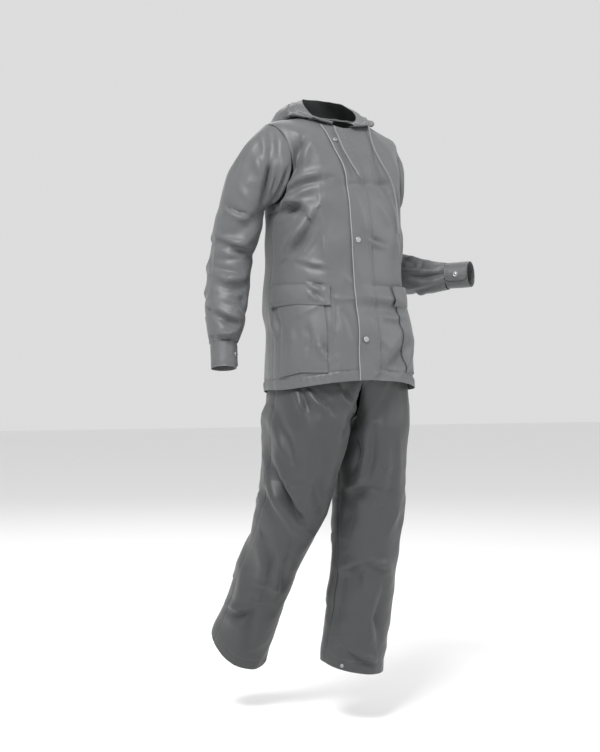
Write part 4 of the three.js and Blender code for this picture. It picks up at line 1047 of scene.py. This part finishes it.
# Radians round to each row, from the band's free end: close together at its corner, so that this is
# round, and then even, from the first value and as many as the second
CORNER_TURNS = [0, 0.01, 0.03, 0.06, 0.1, 0.16, 0.24, 0.34, 0.45]
EVEN_TURNS = (0.5, 76)
CUFF_STITCH_ROW = 6
CUFF_STITCH_COLUMN = 2
CUFFS = {
    "right": dict(
        centre=(-277.1, -19.6, -517.4), along=(-0.06, -0.19, -0.98), lap_end=(0.9, -0.4, 0),
        turn_sign=1, radius=31,
    ),
    "left": dict(
        centre=(331.2, 8.8, -348.8), along=(0.635, -0.77, 0.05), lap_end=(-0.454, -0.891, -0.42),
        turn_sign=-1, radius=33,
    ),
}


def cuff(name, centre, along, lap_end, turn_sign, radius):
    """Builds a band whose rounded end laps over itself, and gives its two lines of stitches."""
    axis = unit(np.array(along))
    to_lap = np.array(lap_end, float)
    to_lap = unit(to_lap - axis * (to_lap @ axis))
    beside = np.cross(axis, to_lap) * turn_sign
    total = 2 * math.pi + CUFF_LAP / radius
    start, count = EVEN_TURNS
    angle = np.concatenate([CORNER_TURNS, np.linspace(start, total, count)])[:, None]
    from_end = np.minimum(angle * radius, CUFF_CORNER)
    cut = CUFF_CORNER - np.sqrt(CUFF_CORNER**2 - (CUFF_CORNER - from_end) ** 2)
    share = np.linspace(0, 1, CUFF_ROWS)[None, :]
    height = SEAM_GAP + cut + (CUFF_HEIGHT - SEAM_GAP - 2 * cut) * share
    size = radius - LAP_STEP * angle / total + 0 * height
    out = np.cos(angle)[..., None] * to_lap + np.sin(angle)[..., None] * beside
    points = np.array(centre) + axis * height[..., None] + out * size[..., None]
    flipped = turn_sign < 0
    normals = grid_normals(points, flipped)
    lift = crumple(points, *CRUMPLES["cuff"])
    edge = np.minimum(height - cut, CUFF_HEIGHT - cut - height)
    lift += seam_pucker(edge - CUFF_SEAM, angle * radius, depth=0.5, wave=11)
    points = points + normals * lift[..., None]
    cloth_piece(name, points, normals, thickness=CUFF_THICKNESS, flipped=flipped)
    columns = (CUFF_STITCH_COLUMN, -1 - CUFF_STITCH_COLUMN)
    return [(points[CUFF_STITCH_ROW:, column], normals[CUFF_STITCH_ROW:, column]) for column in columns]


HOOD_COLUMNS = 96
HOOD_ROWS = 78
STAND_STEPS = 5  # from the neckline down to the fold
FOLD_STEPS = 6  # from the fold up to the rim
NECK_GAP = 0.3


def hood_grid(side, front_start):
    """Profile of the folded hood at each angle round the neck, from the neckline over to the rim."""
    share = 180 * np.linspace(0, 1, HOOD_COLUMNS) ** 0.9
    place = HOOD.place_of("turn", share)
    at = {name: HOOD.at(name, place) for name in HOOD.columns}
    turn = 90 - side * (front_start + (180 - front_start) * share / 180)
    fold = at["fold_level"]
    profile = [body(turn, np.full_like(turn, NECK)) + np.array([0, 0, NECK_GAP])]
    for t in np.linspace(0, 1, STAND_STEPS):
        level = (NECK - HOOD_START) * (1 - t) + fold * t
        profile.append(body(turn, level, np.full_like(turn, HOOD_CLEARANCE)))
    low = fold - np.minimum(HOOD_TURN, at["fold_out"] / 90)
    profile.append(body(turn, low, HOOD_CLEARANCE + at["fold_out"] / 2))
    turned = body(turn, fold, HOOD_CLEARANCE + at["fold_out"])
    profile.append(turned)
    angle = np.radians(turn)
    rim_x = at["rim_radius"] * np.cos(angle)
    rim_y = -RIM_MIDDLE - at["rim_radius"] * np.sin(angle)
    rim = np.stack([rim_x, rim_y, at["rim_height"]], -1)
    away = unit(np.stack([np.cos(angle), -np.sin(angle), np.full_like(angle, HOOD_LEAN)], -1))
    for t in np.arange(1, FOLD_STEPS + 1) / FOLD_STEPS:
        swell = at["swell"] * max(math.sin(math.pi * t), 0) ** 0.8
        profile.append(turned * (1 - t) + rim * t + away * swell[:, None])
    control = np.array(profile)
    names = [str(k) for k in range(HOOD_COLUMNS * 3)]
    table = Table(" ".join(names), control.reshape(len(profile), -1))
    rows = np.linspace(0, table.last, HOOD_ROWS)
    fine = np.stack([table.at(name, rows) for name in names], -1)
    return fine.reshape(HOOD_ROWS, HOOD_COLUMNS, 3).transpose(1, 0, 2)


CASING_WIDTH = 19
CALM_AT_RIM = 30
CALM_AT_NECK = 60
CASING_COLUMN = 60  # where the casing's seam is measured
BACK_SEAM_START = 6


def hood_half(name, side, front_start):
    """Builds half of the hood up to its back seam, and gives its casing's line of stitches."""
    grid = hood_grid(side, front_start)
    flipped = side < 0
    normals = grid_normals(grid, flipped)
    run = lengths(grid, 1)
    from_rim = run[:, -1:] - run
    along = lengths(grid, 0)
    lift = crumple(grid, *CRUMPLES["hood"])
    lift += seam_pucker(from_rim - CASING_WIDTH, along, depth=1.0, wave=12)
    soft = np.clip(from_rim / CALM_AT_RIM, 0, 1) * np.clip(run / CALM_AT_NECK, 0, 1)
    lift += crease_height(np.stack([along, from_rim], axis=-1), HOOD_CREASES, 1) * soft
    grid = grid + normals * lift[..., None]
    back = grid[..., 1] > 0
    grid[..., 0] = np.where(back, side * np.maximum(side * grid[..., 0], SEAM_GAP), grid[..., 0])
    grid[-1, BACK_SEAM_START:, 0] = side * SEAM_GAP
    normals = grid_normals(grid, flipped)
    cloth_piece(name, grid, normals, flipped=flipped)
    row = int(np.argmin(np.abs(from_rim[CASING_COLUMN] - CASING_WIDTH)))
    return grid[:, row], normals[:, row]


def body_sheet(name, turn, points, flipped, extra, thickness):
    """A cloth piece that lies on the jacket body and shares its creases."""
    normals = grid_normals(points, flipped)
    lift = jacket_creases(points, normals, turn) + extra
    points = points + normals * lift[..., None]
    cloth_piece(name, points, normals, thickness=thickness, flipped=flipped)
    return points, normals


FLAP_LEVELS = (0.03, 12.1)
FLAP_ROWS = 190
FLAP_COLUMNS = 26
FLAP_THICKNESS = 1.4
FLAP_SEAM = 5  # from its sewn edge
FLAP_WAVE = 0.5
FLAP_WAVE_REACH = 9
FLAP_STITCH_COLUMNS = (3, 4)
PIPING_GAP = 0.2


def storm_flap():
    """Builds the flap; gives its lines of stitches, and the line of the piping at its free edge."""
    level = np.linspace(*FLAP_LEVELS, FLAP_ROWS)[:, None]
    free = FLAP_EDGE.at("x", FLAP_EDGE.place_of("level", level))
    turn = turn_at_x(free + FLAP_WIDTH - FLAP_WIDTH * np.linspace(0, 1, FLAP_COLUMNS), level)
    level = np.broadcast_to(level, turn.shape)
    points = body(turn, level, np.full(turn.shape, float(FLAP_OUT)))
    up = lengths(points, 0)
    across = lengths(points, 1)
    from_free = across[:, -1:] - across
    extra = seam_pucker(across - FLAP_SEAM, up, depth=0.7, wave=12)
    wave = FLAP_WAVE * np.sin(up / 17 + 1.5 * np.sin(up / 43))
    extra = extra + wave * np.exp(-from_free / FLAP_WAVE_REACH)
    points, normals = body_sheet("storm_flap", turn, points, False, extra, FLAP_THICKNESS)
    lines = [(points[:, column], normals[:, column]) for column in FLAP_STITCH_COLUMNS]
    edge = points[:, -1] + normals[:, -1] * (PIPING_OUT - FLAP_OUT)
    side = unit(points[:, -1] - points[:, -2])
    return lines, edge + side * (PIPING_DIAMETER / 2 + PIPING_GAP)


def tube(name, route, diameter, material):
    """A round line of trim along a route, which stands for its solid."""
    curve = bpy.data.curves.new(name + "_line", "CURVE")
    curve.dimensions = "3D"
    curve.bevel_depth = diameter / 2 * MM
    curve.bevel_resolution = 4
    curve.use_fill_caps = True
    spline = curve.splines.new("NURBS")
    spline.points.add(len(route) - 1)
    for point, place in zip(spline.points, route):
        point.co = (*(np.asarray(place) * MM), 1)
    spline.use_endpoint_u = True
    spline.order_u = 3
    spline.resolution_u = 4
    curve.materials.append(material)
    piece = link(bpy.data.objects.new(name + "_line", curve))
    settle(piece, [name])
    return piece


SNAP_PROFILE = [
    (0.0, 2.15), (1.6, 2.1), (2.9, 1.75), (3.5, 1.35), (4.0, 1.3), (4.6, 1.75), (5.4, 1.9),
    (6.0, 1.5), (6.45, 0.8), (6.5, 0.35), (6.2, 0.0), (0.0, 0.0),
]
SNAP_DIAMETER = 13  # of that profile of radii and heights
SNAP_SIDES = 40
SNAP_GAP = 0.3
LEAST_RADIUS = 0.02
RIM_CORNERS = 20
SNAPS = (
    "snap_top", "snap_middle", "snap_bottom", "cuff_snap_right", "cuff_snap_left", "ankle_snap_left",
    "ankle_snap_right",
)


def cap_place(name):
    """Seat, way out and diameter of a snap's solid, whose widest ring of corners is its back."""
    corners = np.array([v.co[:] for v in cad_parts[name].data.vertices]) / MM
    centre = corners.mean(axis=0)
    out = np.linalg.svd(corners - centre, full_matrices=False)[2][2]
    height = (corners - centre) @ out
    wide = np.linalg.norm(corners - centre - height[:, None] * out, axis=1)
    if height[np.argsort(wide)[-RIM_CORNERS:]].mean() > 0:
        out = -out
        height = -height
    return centre + out * (height.min() - SNAP_GAP), out, 2 * wide.max()


def snap(name):
    """A pressed snap cap: a domed rim round a dished middle."""
    seat, out, diameter = cap_place(name)
    out = unit(out)
    first = unit(np.cross(out, [0.3, 0.2, 0.9]))
    second = np.cross(out, first)
    angle = 2 * math.pi * np.arange(SNAP_SIDES) / SNAP_SIDES
    round_way = np.cos(angle)[:, None] * first + np.sin(angle)[:, None] * second
    points = []
    scale = diameter / SNAP_DIAMETER
    for radius, height in SNAP_PROFILE:
        ring = round_way * max(radius * scale, LEAST_RADIUS)
        points.append(seat + out * (height * scale + SNAP_GAP) + ring)
    corner = np.arange(len(SNAP_PROFILE) * SNAP_SIDES).reshape(-1, SNAP_SIDES)
    beside = np.roll(corner, -1, axis=1)
    quads = np.stack([corner[:-1], corner[1:], beside[1:], beside[:-1]], -1)
    faces = quads.reshape(-1, 4).tolist() + [corner[0].tolist(), corner[-1, ::-1].tolist()]
    piece = mesh_object(name + "_cap", np.concatenate(points), faces, materials()["snap"])
    settle(piece, [name])


POCKET_TURNS = {"left": 34, "right": 146}
POCKETS = {
    "pocket": dict(top=-414, height=158, width=136, out=3.2, sag=0, bulge=3.2),
    "pocket_flap": dict(top=-388, height=42, width=170, out=6.0, sag=3, bulge=2.2),
}
POCKET_THICKNESS = 1.2
POCKET_SEAM = 3.5  # from its edges
POCKET_GATHER = 0.8
POCKET_GATHER_REACH = 8
PATCH_TILT = 0.25
LEAST_STEPS = 4


def steps_for(size):
    return max(int(round(size / POINT_SPACING)), LEAST_STEPS)


def front_patch(name, centre_turn, top, height, width, out, sag, bulge):
    """Builds a pocket or its flap on the body's front, and gives its lines of stitches."""
    half = math.degrees(width / 2 / BODY_RADIUS)
    across = np.linspace(-1, 1, steps_for(width))[None, :]
    down = np.linspace(0, 1, steps_for(height))[:, None]
    drop = height * down - sag * down * across**2
    level = BODY.place_of("front", top - drop - PATCH_TILT * np.abs(across * half) * down)
    turn = np.broadcast_to(centre_turn + across * half, level.shape)
    points = body(turn, level, np.full(level.shape, float(out)))
    right = lengths(points, 1)
    below = lengths(points, 0)
    edge = np.minimum(np.minimum(right, right[:, -1:] - right), below[-1:] - below)
    extra = seam_pucker(edge - POCKET_SEAM, right + below, depth=0.6, wave=10)
    swell = np.abs(np.sin(math.pi * right / right[:, -1:])) ** 0.7
    extra = extra + bulge * swell * np.sin(math.pi * below / below[-1:])
    gather = POCKET_GATHER * np.sin(right / 8 + np.sin(right / 21))
    extra = extra + gather * np.exp(-below / POCKET_GATHER_REACH)
    points, normals = body_sheet(name, turn, points, True, extra, POCKET_THICKNESS)
    return [(points[:, 1], normals[:, 1]), (points[:, -2], normals[:, -2]), (points[-2], normals[-2])]


def hip_point(side, share, back, z):
    """Point of the seat at a share of the quarter turn from its side to its middle."""
    share, z = np.broadcast_arrays(np.asarray(share, float), np.asarray(z, float))
    place = HIPS.place_of("z", z)
    at = {name: HIPS.at(name, place) for name in HIPS.columns}
    angle = share * math.pi / 2
    depth = at["back_depth"] if back else -at["front_depth"]
    x = side * at["half_width"] * power(np.cos(angle), 2 / at["square"])
    y = at["middle_y"] + depth * power(np.sin(angle), 2 / at["square"])
    return np.stack([x, y, z], -1)


OUTER_SQUARE = 2.2  # most that the outer half of a leg is squared


def leg_point(table, side, folds, turn, place):
    """Point of a leg with the solids' own folds, at a turn from its outer side."""
    turn, place = np.broadcast_arrays(np.asarray(turn, float), np.asarray(place, float))
    at = {name: table.at(name, place) for name in table.columns}
    pitch = np.radians(at["pitch"])
    roll = np.radians(at["roll"])
    outward = np.cos(np.radians(turn))
    square = np.where(outward > 0, np.minimum(at["square"], OUTER_SQUARE), at["square"])
    a = at["across"] * power(outward, 2 / square) * side
    d = at["deep"] * power(np.sin(np.radians(turn)), 2 / square)
    x = at["x"] + a * np.cos(roll)
    y = at["y"] - d * np.cos(pitch)
    z = at["z"] - d * np.sin(pitch) - a * np.sin(roll)
    point = np.stack([x, y, z], -1)
    out = np.stack([outward * side, -np.sin(np.radians(turn)), np.zeros_like(outward)], -1)
    calm = np.minimum(1, np.minimum(place, (table.last - place) * 2))
    lift = calm * cad_fold_height(turn, point[..., 2], folds, LEG_DEGREE)
    return point + out * lift[..., None]


# Folds that the legs' solids have too, in degrees round and millimetres of height
RIGHT_LEG_FOLDS = [
    ("ridge", 15, 8, [(40, -800), (112, -930)]),
    ("trough", 13, -9, [(52, -780), (124, -905)]),
    ("trough", 14, -7, [(20, -870), (80, -962)]),
    ("ridge", 15, 6, [(150, -830), (110, -980)]),
    ("trough", 16, -9, [(300, -930), (350, -985)]),
    ("ridge", 16, 7, [(250, -960), (320, -1030)]),
    ("trough", 14, -5, [(40, -1060), (90, -1110)]),
]
LEFT_LEG_FOLDS = [
    ("trough", 15, -8, [(150, -870), (60, -905)]),
    ("trough", 17, -9, [(150, -985), (120, -1100)]),
    ("ridge", 16, 7, [(95, -1000), (62, -1060)]),
    ("ridge", 14, 6, [(20, -850), (50, -980)]),
    ("trough", 17, -8, [(300, -880), (240, -930)]),
    ("trough", 16, -7, [(230, -1030), (320, -1080)]),
]
LEGS = {
    "left": dict(table=LEFT_LEG, side=1, folds=LEFT_LEG_FOLDS),
    "right": dict(table=RIGHT_LEG, side=-1, folds=RIGHT_LEG_FOLDS),
}
TROUSER_HEM = 26
TROUSER_SHARES = (0.0004, 0.9996)  # of a half turn, so that a gap is left at each seam
TROUSER_COLUMNS = 62
TROUSER_ROWS = 262
HIP_ROWS = 46
FORK_ROWS = 44
LEG_ROWS = 172
SEAT_CALM = 160  # down from the waist, where the seams' puckers start
HEM_COLUMN = 30  # where the hem is measured


def trouser_panel(name, table, side, folds, back):
    """Builds the front or back of a leg with its part of the seat, and gives its hem's stitches."""
    share = np.linspace(*TROUSER_SHARES, TROUSER_COLUMNS)[None, :]
    turn_of = 360 - 180 * share if back else 180 * share
    hip = hip_point(side, share, back, np.linspace(TROUSER_TOP, FORK_TOP, HIP_ROWS)[:-1, None])
    phase = np.linspace(0, math.pi / 2, FORK_ROWS)[:-1, None]
    z = FORK_TOP + (CROTCH_HEIGHT - FORK_TOP) * np.sin(phase)
    low = leg_point(table, side, folds, turn_of, 0.0) + np.zeros((len(phase), 1, 1))
    low[..., 2] = z
    sin_phase = np.sin(phase)
    smooth = sin_phase**2 * (3 - 2 * sin_phase)
    to_leg = smooth + (1 - np.cos(phase) - smooth) * np.minimum(share**2, 1)
    fork = hip_point(side, share, back, z) * (1 - to_leg[..., None]) + low * to_leg[..., None]
    leg = leg_point(table, side, folds, turn_of, np.linspace(0, table.last, LEG_ROWS)[:, None])
    grid = even_rows(np.concatenate([hip, fork, leg]), TROUSER_ROWS)
    flipped = side < 0 if back else side > 0
    normals = grid_normals(grid, flipped)
    turn = np.broadcast_to(turn_of, grid.shape[:2])
    lift = both_creases(grid, normals, SEEN_ON_TROUSERS, turn, grid[..., 2], HIDDEN_ON_LEGS, LEG_DEGREE)
    lift += crumple(grid, *CRUMPLES["trousers"])
    up = lengths(grid, 0)
    across = lengths(grid, 1)
    from_hem = up[-1:] - up
    calm = np.clip(up / SEAT_CALM, 0, 1)
    for edge in (across, across[:, -1:] - across):
        lift += seam_pucker(edge, up, depth=0.8, wave=14) * calm
    lift += seam_pucker(from_hem - TROUSER_HEM, across, depth=0.7, wave=15)
    grid = grid + normals * lift[..., None]
    grid[..., 0] = side * np.maximum(side * grid[..., 0], SEAM_GAP)
    cloth_piece(name, grid, grid_normals(grid, flipped), kind="trousers", flipped=flipped)
    row = int(np.argmin(np.abs(from_hem[:, HEM_COLUMN] - TROUSER_HEM)))
    return grid[row], normals[row]


class RainSuitSizes(bpy.types.PropertyGroup):
    """Sizes that a user may change."""

    shell_thickness: bpy.props.FloatProperty(
        name="Cloth thickness", description="Thickness of one layer of cloth", default=0.001,
        min=0.0003, max=0.0016, unit="LENGTH",
    )
    crease_strength: bpy.props.FloatProperty(
        name="Crease strength", description="Share of the creases' depth that is built", default=1.0,
        min=0, max=1.2,
    )


def hex_property(name, description, default):
    return bpy.props.StringProperty(name=name, description=description, default=default, maxlen=7)


class RainSuitLook(bpy.types.PropertyGroup):
    """Colours of the cloth and trimmings, as sRGB hex values."""

    jacket_colour: hex_property("Jacket", "Colour of the jacket's nylon", "#505152")
    trouser_colour: hex_property("Trousers", "Colour of the trousers' nylon", "#343536")
    piping_colour: hex_property("Piping", "Colour of the storm flap's piping", "#78797A")
    snap_colour: hex_property("Snaps", "Colour of the plated snap caps", "#96979A")
    cord_colour: hex_property("Drawcord", "Colour of the braided drawcord", "#68696A")
    thread_colour: hex_property("Thread", "Colour of the stitching", "#5C5D5E")


class BuildCamera(bpy.types.Operator):
    """Adds the camera at the photograph's viewpoint"""

    bl_idname = "rain_suit.build_camera"
    bl_label = "Camera"

    def execute(self, context):
        data = bpy.data.cameras.new("photo_view")
        data.lens = VIEW_LENS
        data.sensor_width = SENSOR
        camera = link(bpy.data.objects.new("photo_view", data))
        camera.location = VIEW_POINT * MM
        camera.rotation_euler = (math.pi / 2, 0, VIEW_TURN)
        context.scene.camera = camera
        return {"FINISHED"}


class BuildDrawcord(bpy.types.Operator):
    """Adds the two free ends of the hood's drawcord"""

    bl_idname = "rain_suit.build_drawcord"
    bl_label = "Drawcord"

    def execute(self, context):
        for side, route in (("right", CORD_RIGHT_ROUTE), ("left", CORD_LEFT_ROUTE)):
            name = f"drawcord_{side}"
            piece = tube(name, route, CORD_DIAMETER, materials()["cord"])
        return {"FINISHED"}


class BuildJacketBody(bpy.types.Operator):
    """Builds the fronts and the back of the jacket"""

    bl_idname = "rain_suit.build_jacket_body"
    bl_label = "Jacket Body"

    def execute(self, context):
        lines = [jacket_panel(name, *facts) for name, facts in JACKET_PANELS.items()]
        stitches("jacket_hem_stitches", lines)
        return {"FINISHED"}


class BuildSleeves(bpy.types.Operator):
    """Builds the sleeves and their cuffs"""

    bl_idname = "rain_suit.build_sleeves"
    bl_label = "Sleeves and Cuffs"

    def execute(self, context):
        for side, facts in SLEEVES.items():
            sleeve(f"sleeve_{side}", **facts)
        lines = []
        for side, facts in CUFFS.items():
            lines += cuff(f"cuff_{side}", **facts)
        stitches("cuff_stitches", lines)
        return {"FINISHED"}


class BuildHood(bpy.types.Operator):
    """Builds the folded hood and the stitching of its drawcord casing"""

    bl_idname = "rain_suit.build_hood"
    bl_label = "Hood"

    def execute(self, context):
        lines = [hood_half(f"hood_{side}", *facts) for side, facts in HOOD_HALVES.items()]
        stitches("hood_casing_stitches", lines)
        return {"FINISHED"}


class BuildStormFlap(bpy.types.Operator):
    """Builds the storm flap with its stitching and piping"""

    bl_idname = "rain_suit.build_storm_flap"
    bl_label = "Storm Flap"

    def execute(self, context):
        lines, edge = storm_flap()
        stitches("storm_flap_stitches", lines)
        tube("flap_piping", edge[::3], PIPING_DIAMETER, materials()["piping"])
        return {"FINISHED"}


class BuildPockets(bpy.types.Operator):
    """Builds the patch pockets and the flaps over them"""

    bl_idname = "rain_suit.build_pockets"
    bl_label = "Pockets"

    def execute(self, context):
        lines = []
        for side, turn in POCKET_TURNS.items():
            for kind, facts in POCKETS.items():
                lines += front_patch(f"{kind}_{side}", turn, **facts)
        stitches("pocket_stitches", lines)
        return {"FINISHED"}


class BuildSnaps(bpy.types.Operator):
    """Builds the snap caps on the storm flap, the cuffs and the ankles"""

    bl_idname = "rain_suit.build_snaps"
    bl_label = "Snaps"

    def execute(self, context):
        for name in SNAPS:
            snap(name)
        return {"FINISHED"}


class BuildTrousers(bpy.types.Operator):
    """Builds the four panels of the trousers and finishes the waistband"""

    bl_idname = "rain_suit.build_trousers"
    bl_label = "Trousers"

    def execute(self, context):
        lines = []
        for side, leg in LEGS.items():
            lines.append(trouser_panel(f"trouser_front_{side}", back=False, **leg))
            lines.append(trouser_panel(f"trouser_back_{side}", back=True, **leg))
        stitches("trouser_hem_stitches", lines)
        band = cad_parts["waistband"]
        band.data.materials.clear()
        band.data.materials.append(materials()["trousers"])
        return {"FINISHED"}


# Floor and lights in metres and watts: name, place, energy and side of each soft light
FLOOR_COLOUR = "#F4F4F4"
FLOOR_SIZE = 40
WORLD_STRENGTH = 0.72
AIM = (0, 0, -0.5)
LIGHTS = (
    ("key", (-2.2, -2.2, 2.6), 260, 1.6),
    ("fill", (2.8, -2.4, 1.0), 60, 2.0),
    ("back", (1.2, 4.4, 2.6), 50, 2.4),
)


class BuildStage(bpy.types.Operator):
    """Builds the pale floor and the soft studio light"""

    bl_idname = "rain_suit.build_stage"
    bl_label = "Stage"

    def execute(self, context):
        material, tree = new_material("painted_floor")
        finish_material(tree, Base_Color=srgb(FLOOR_COLOUR), Roughness=0.9)
        bpy.ops.mesh.primitive_plane_add(size=FLOOR_SIZE, location=(0, 0, FLOOR_HEIGHT * MM))
        floor = context.object
        floor.name = "floor"
        floor.data.materials.append(material)
        world = bpy.data.worlds.new("studio")
        world.use_nodes = True
        background = world.node_tree.nodes["Background"]
        background.inputs["Color"].default_value = (1, 1, 1, 1)
        background.inputs["Strength"].default_value = WORLD_STRENGTH
        context.scene.world = world
        context.scene.view_settings.view_transform = "Standard"
        for name, place, energy, size in LIGHTS:
            data = bpy.data.lights.new(name, "AREA")
            data.energy = energy
            data.size = size
            light = link(bpy.data.objects.new(name, data))
            light.location = place
            way = np.array(AIM) - np.array(place)
            light.rotation_euler = (
                math.atan2(math.hypot(way[0], way[1]), -way[2]), 0, math.atan2(way[1], way[0]) - math.pi / 2
            )
        return {"FINISHED"}


class RainSuitPanel(bpy.types.Panel):
    """Lists the sizes, the colours and the pieces"""

    bl_idname = "VIEW3D_PT_rain_suit"
    bl_label = "Rain Suit"
    bl_space_type = "VIEW_3D"
    bl_region_type = "UI"
    bl_category = "Rain Suit"

    def draw(self, context):
        for group in (context.scene.rain_suit_sizes, context.scene.rain_suit_look):
            for name in group.__annotations__:
                self.layout.prop(group, name)
        for operator in OPERATORS:
            self.layout.operator(operator.bl_idname)


OPERATORS = (
    BuildCamera, BuildDrawcord, BuildJacketBody, BuildSleeves, BuildHood, BuildStormFlap, BuildPockets,
    BuildSnaps, BuildTrousers, BuildStage,
)
CLASSES = (RainSuitSizes, RainSuitLook, *OPERATORS, RainSuitPanel)


def register():
    for cls in CLASSES:
        bpy.utils.register_class(cls)
    bpy.types.Scene.rain_suit_sizes = bpy.props.PointerProperty(type=RainSuitSizes)
    bpy.types.Scene.rain_suit_look = bpy.props.PointerProperty(type=RainSuitLook)


def unregister():
    del bpy.types.Scene.rain_suit_look
    del bpy.types.Scene.rain_suit_sizes
    for cls in reversed(CLASSES):
        bpy.utils.unregister_class(cls)


def main():
    register()
    for operator in OPERATORS:
        getattr(bpy.ops.rain_suit, operator.bl_idname.split(".")[1])()


if __name__ == "__main__":
    main()
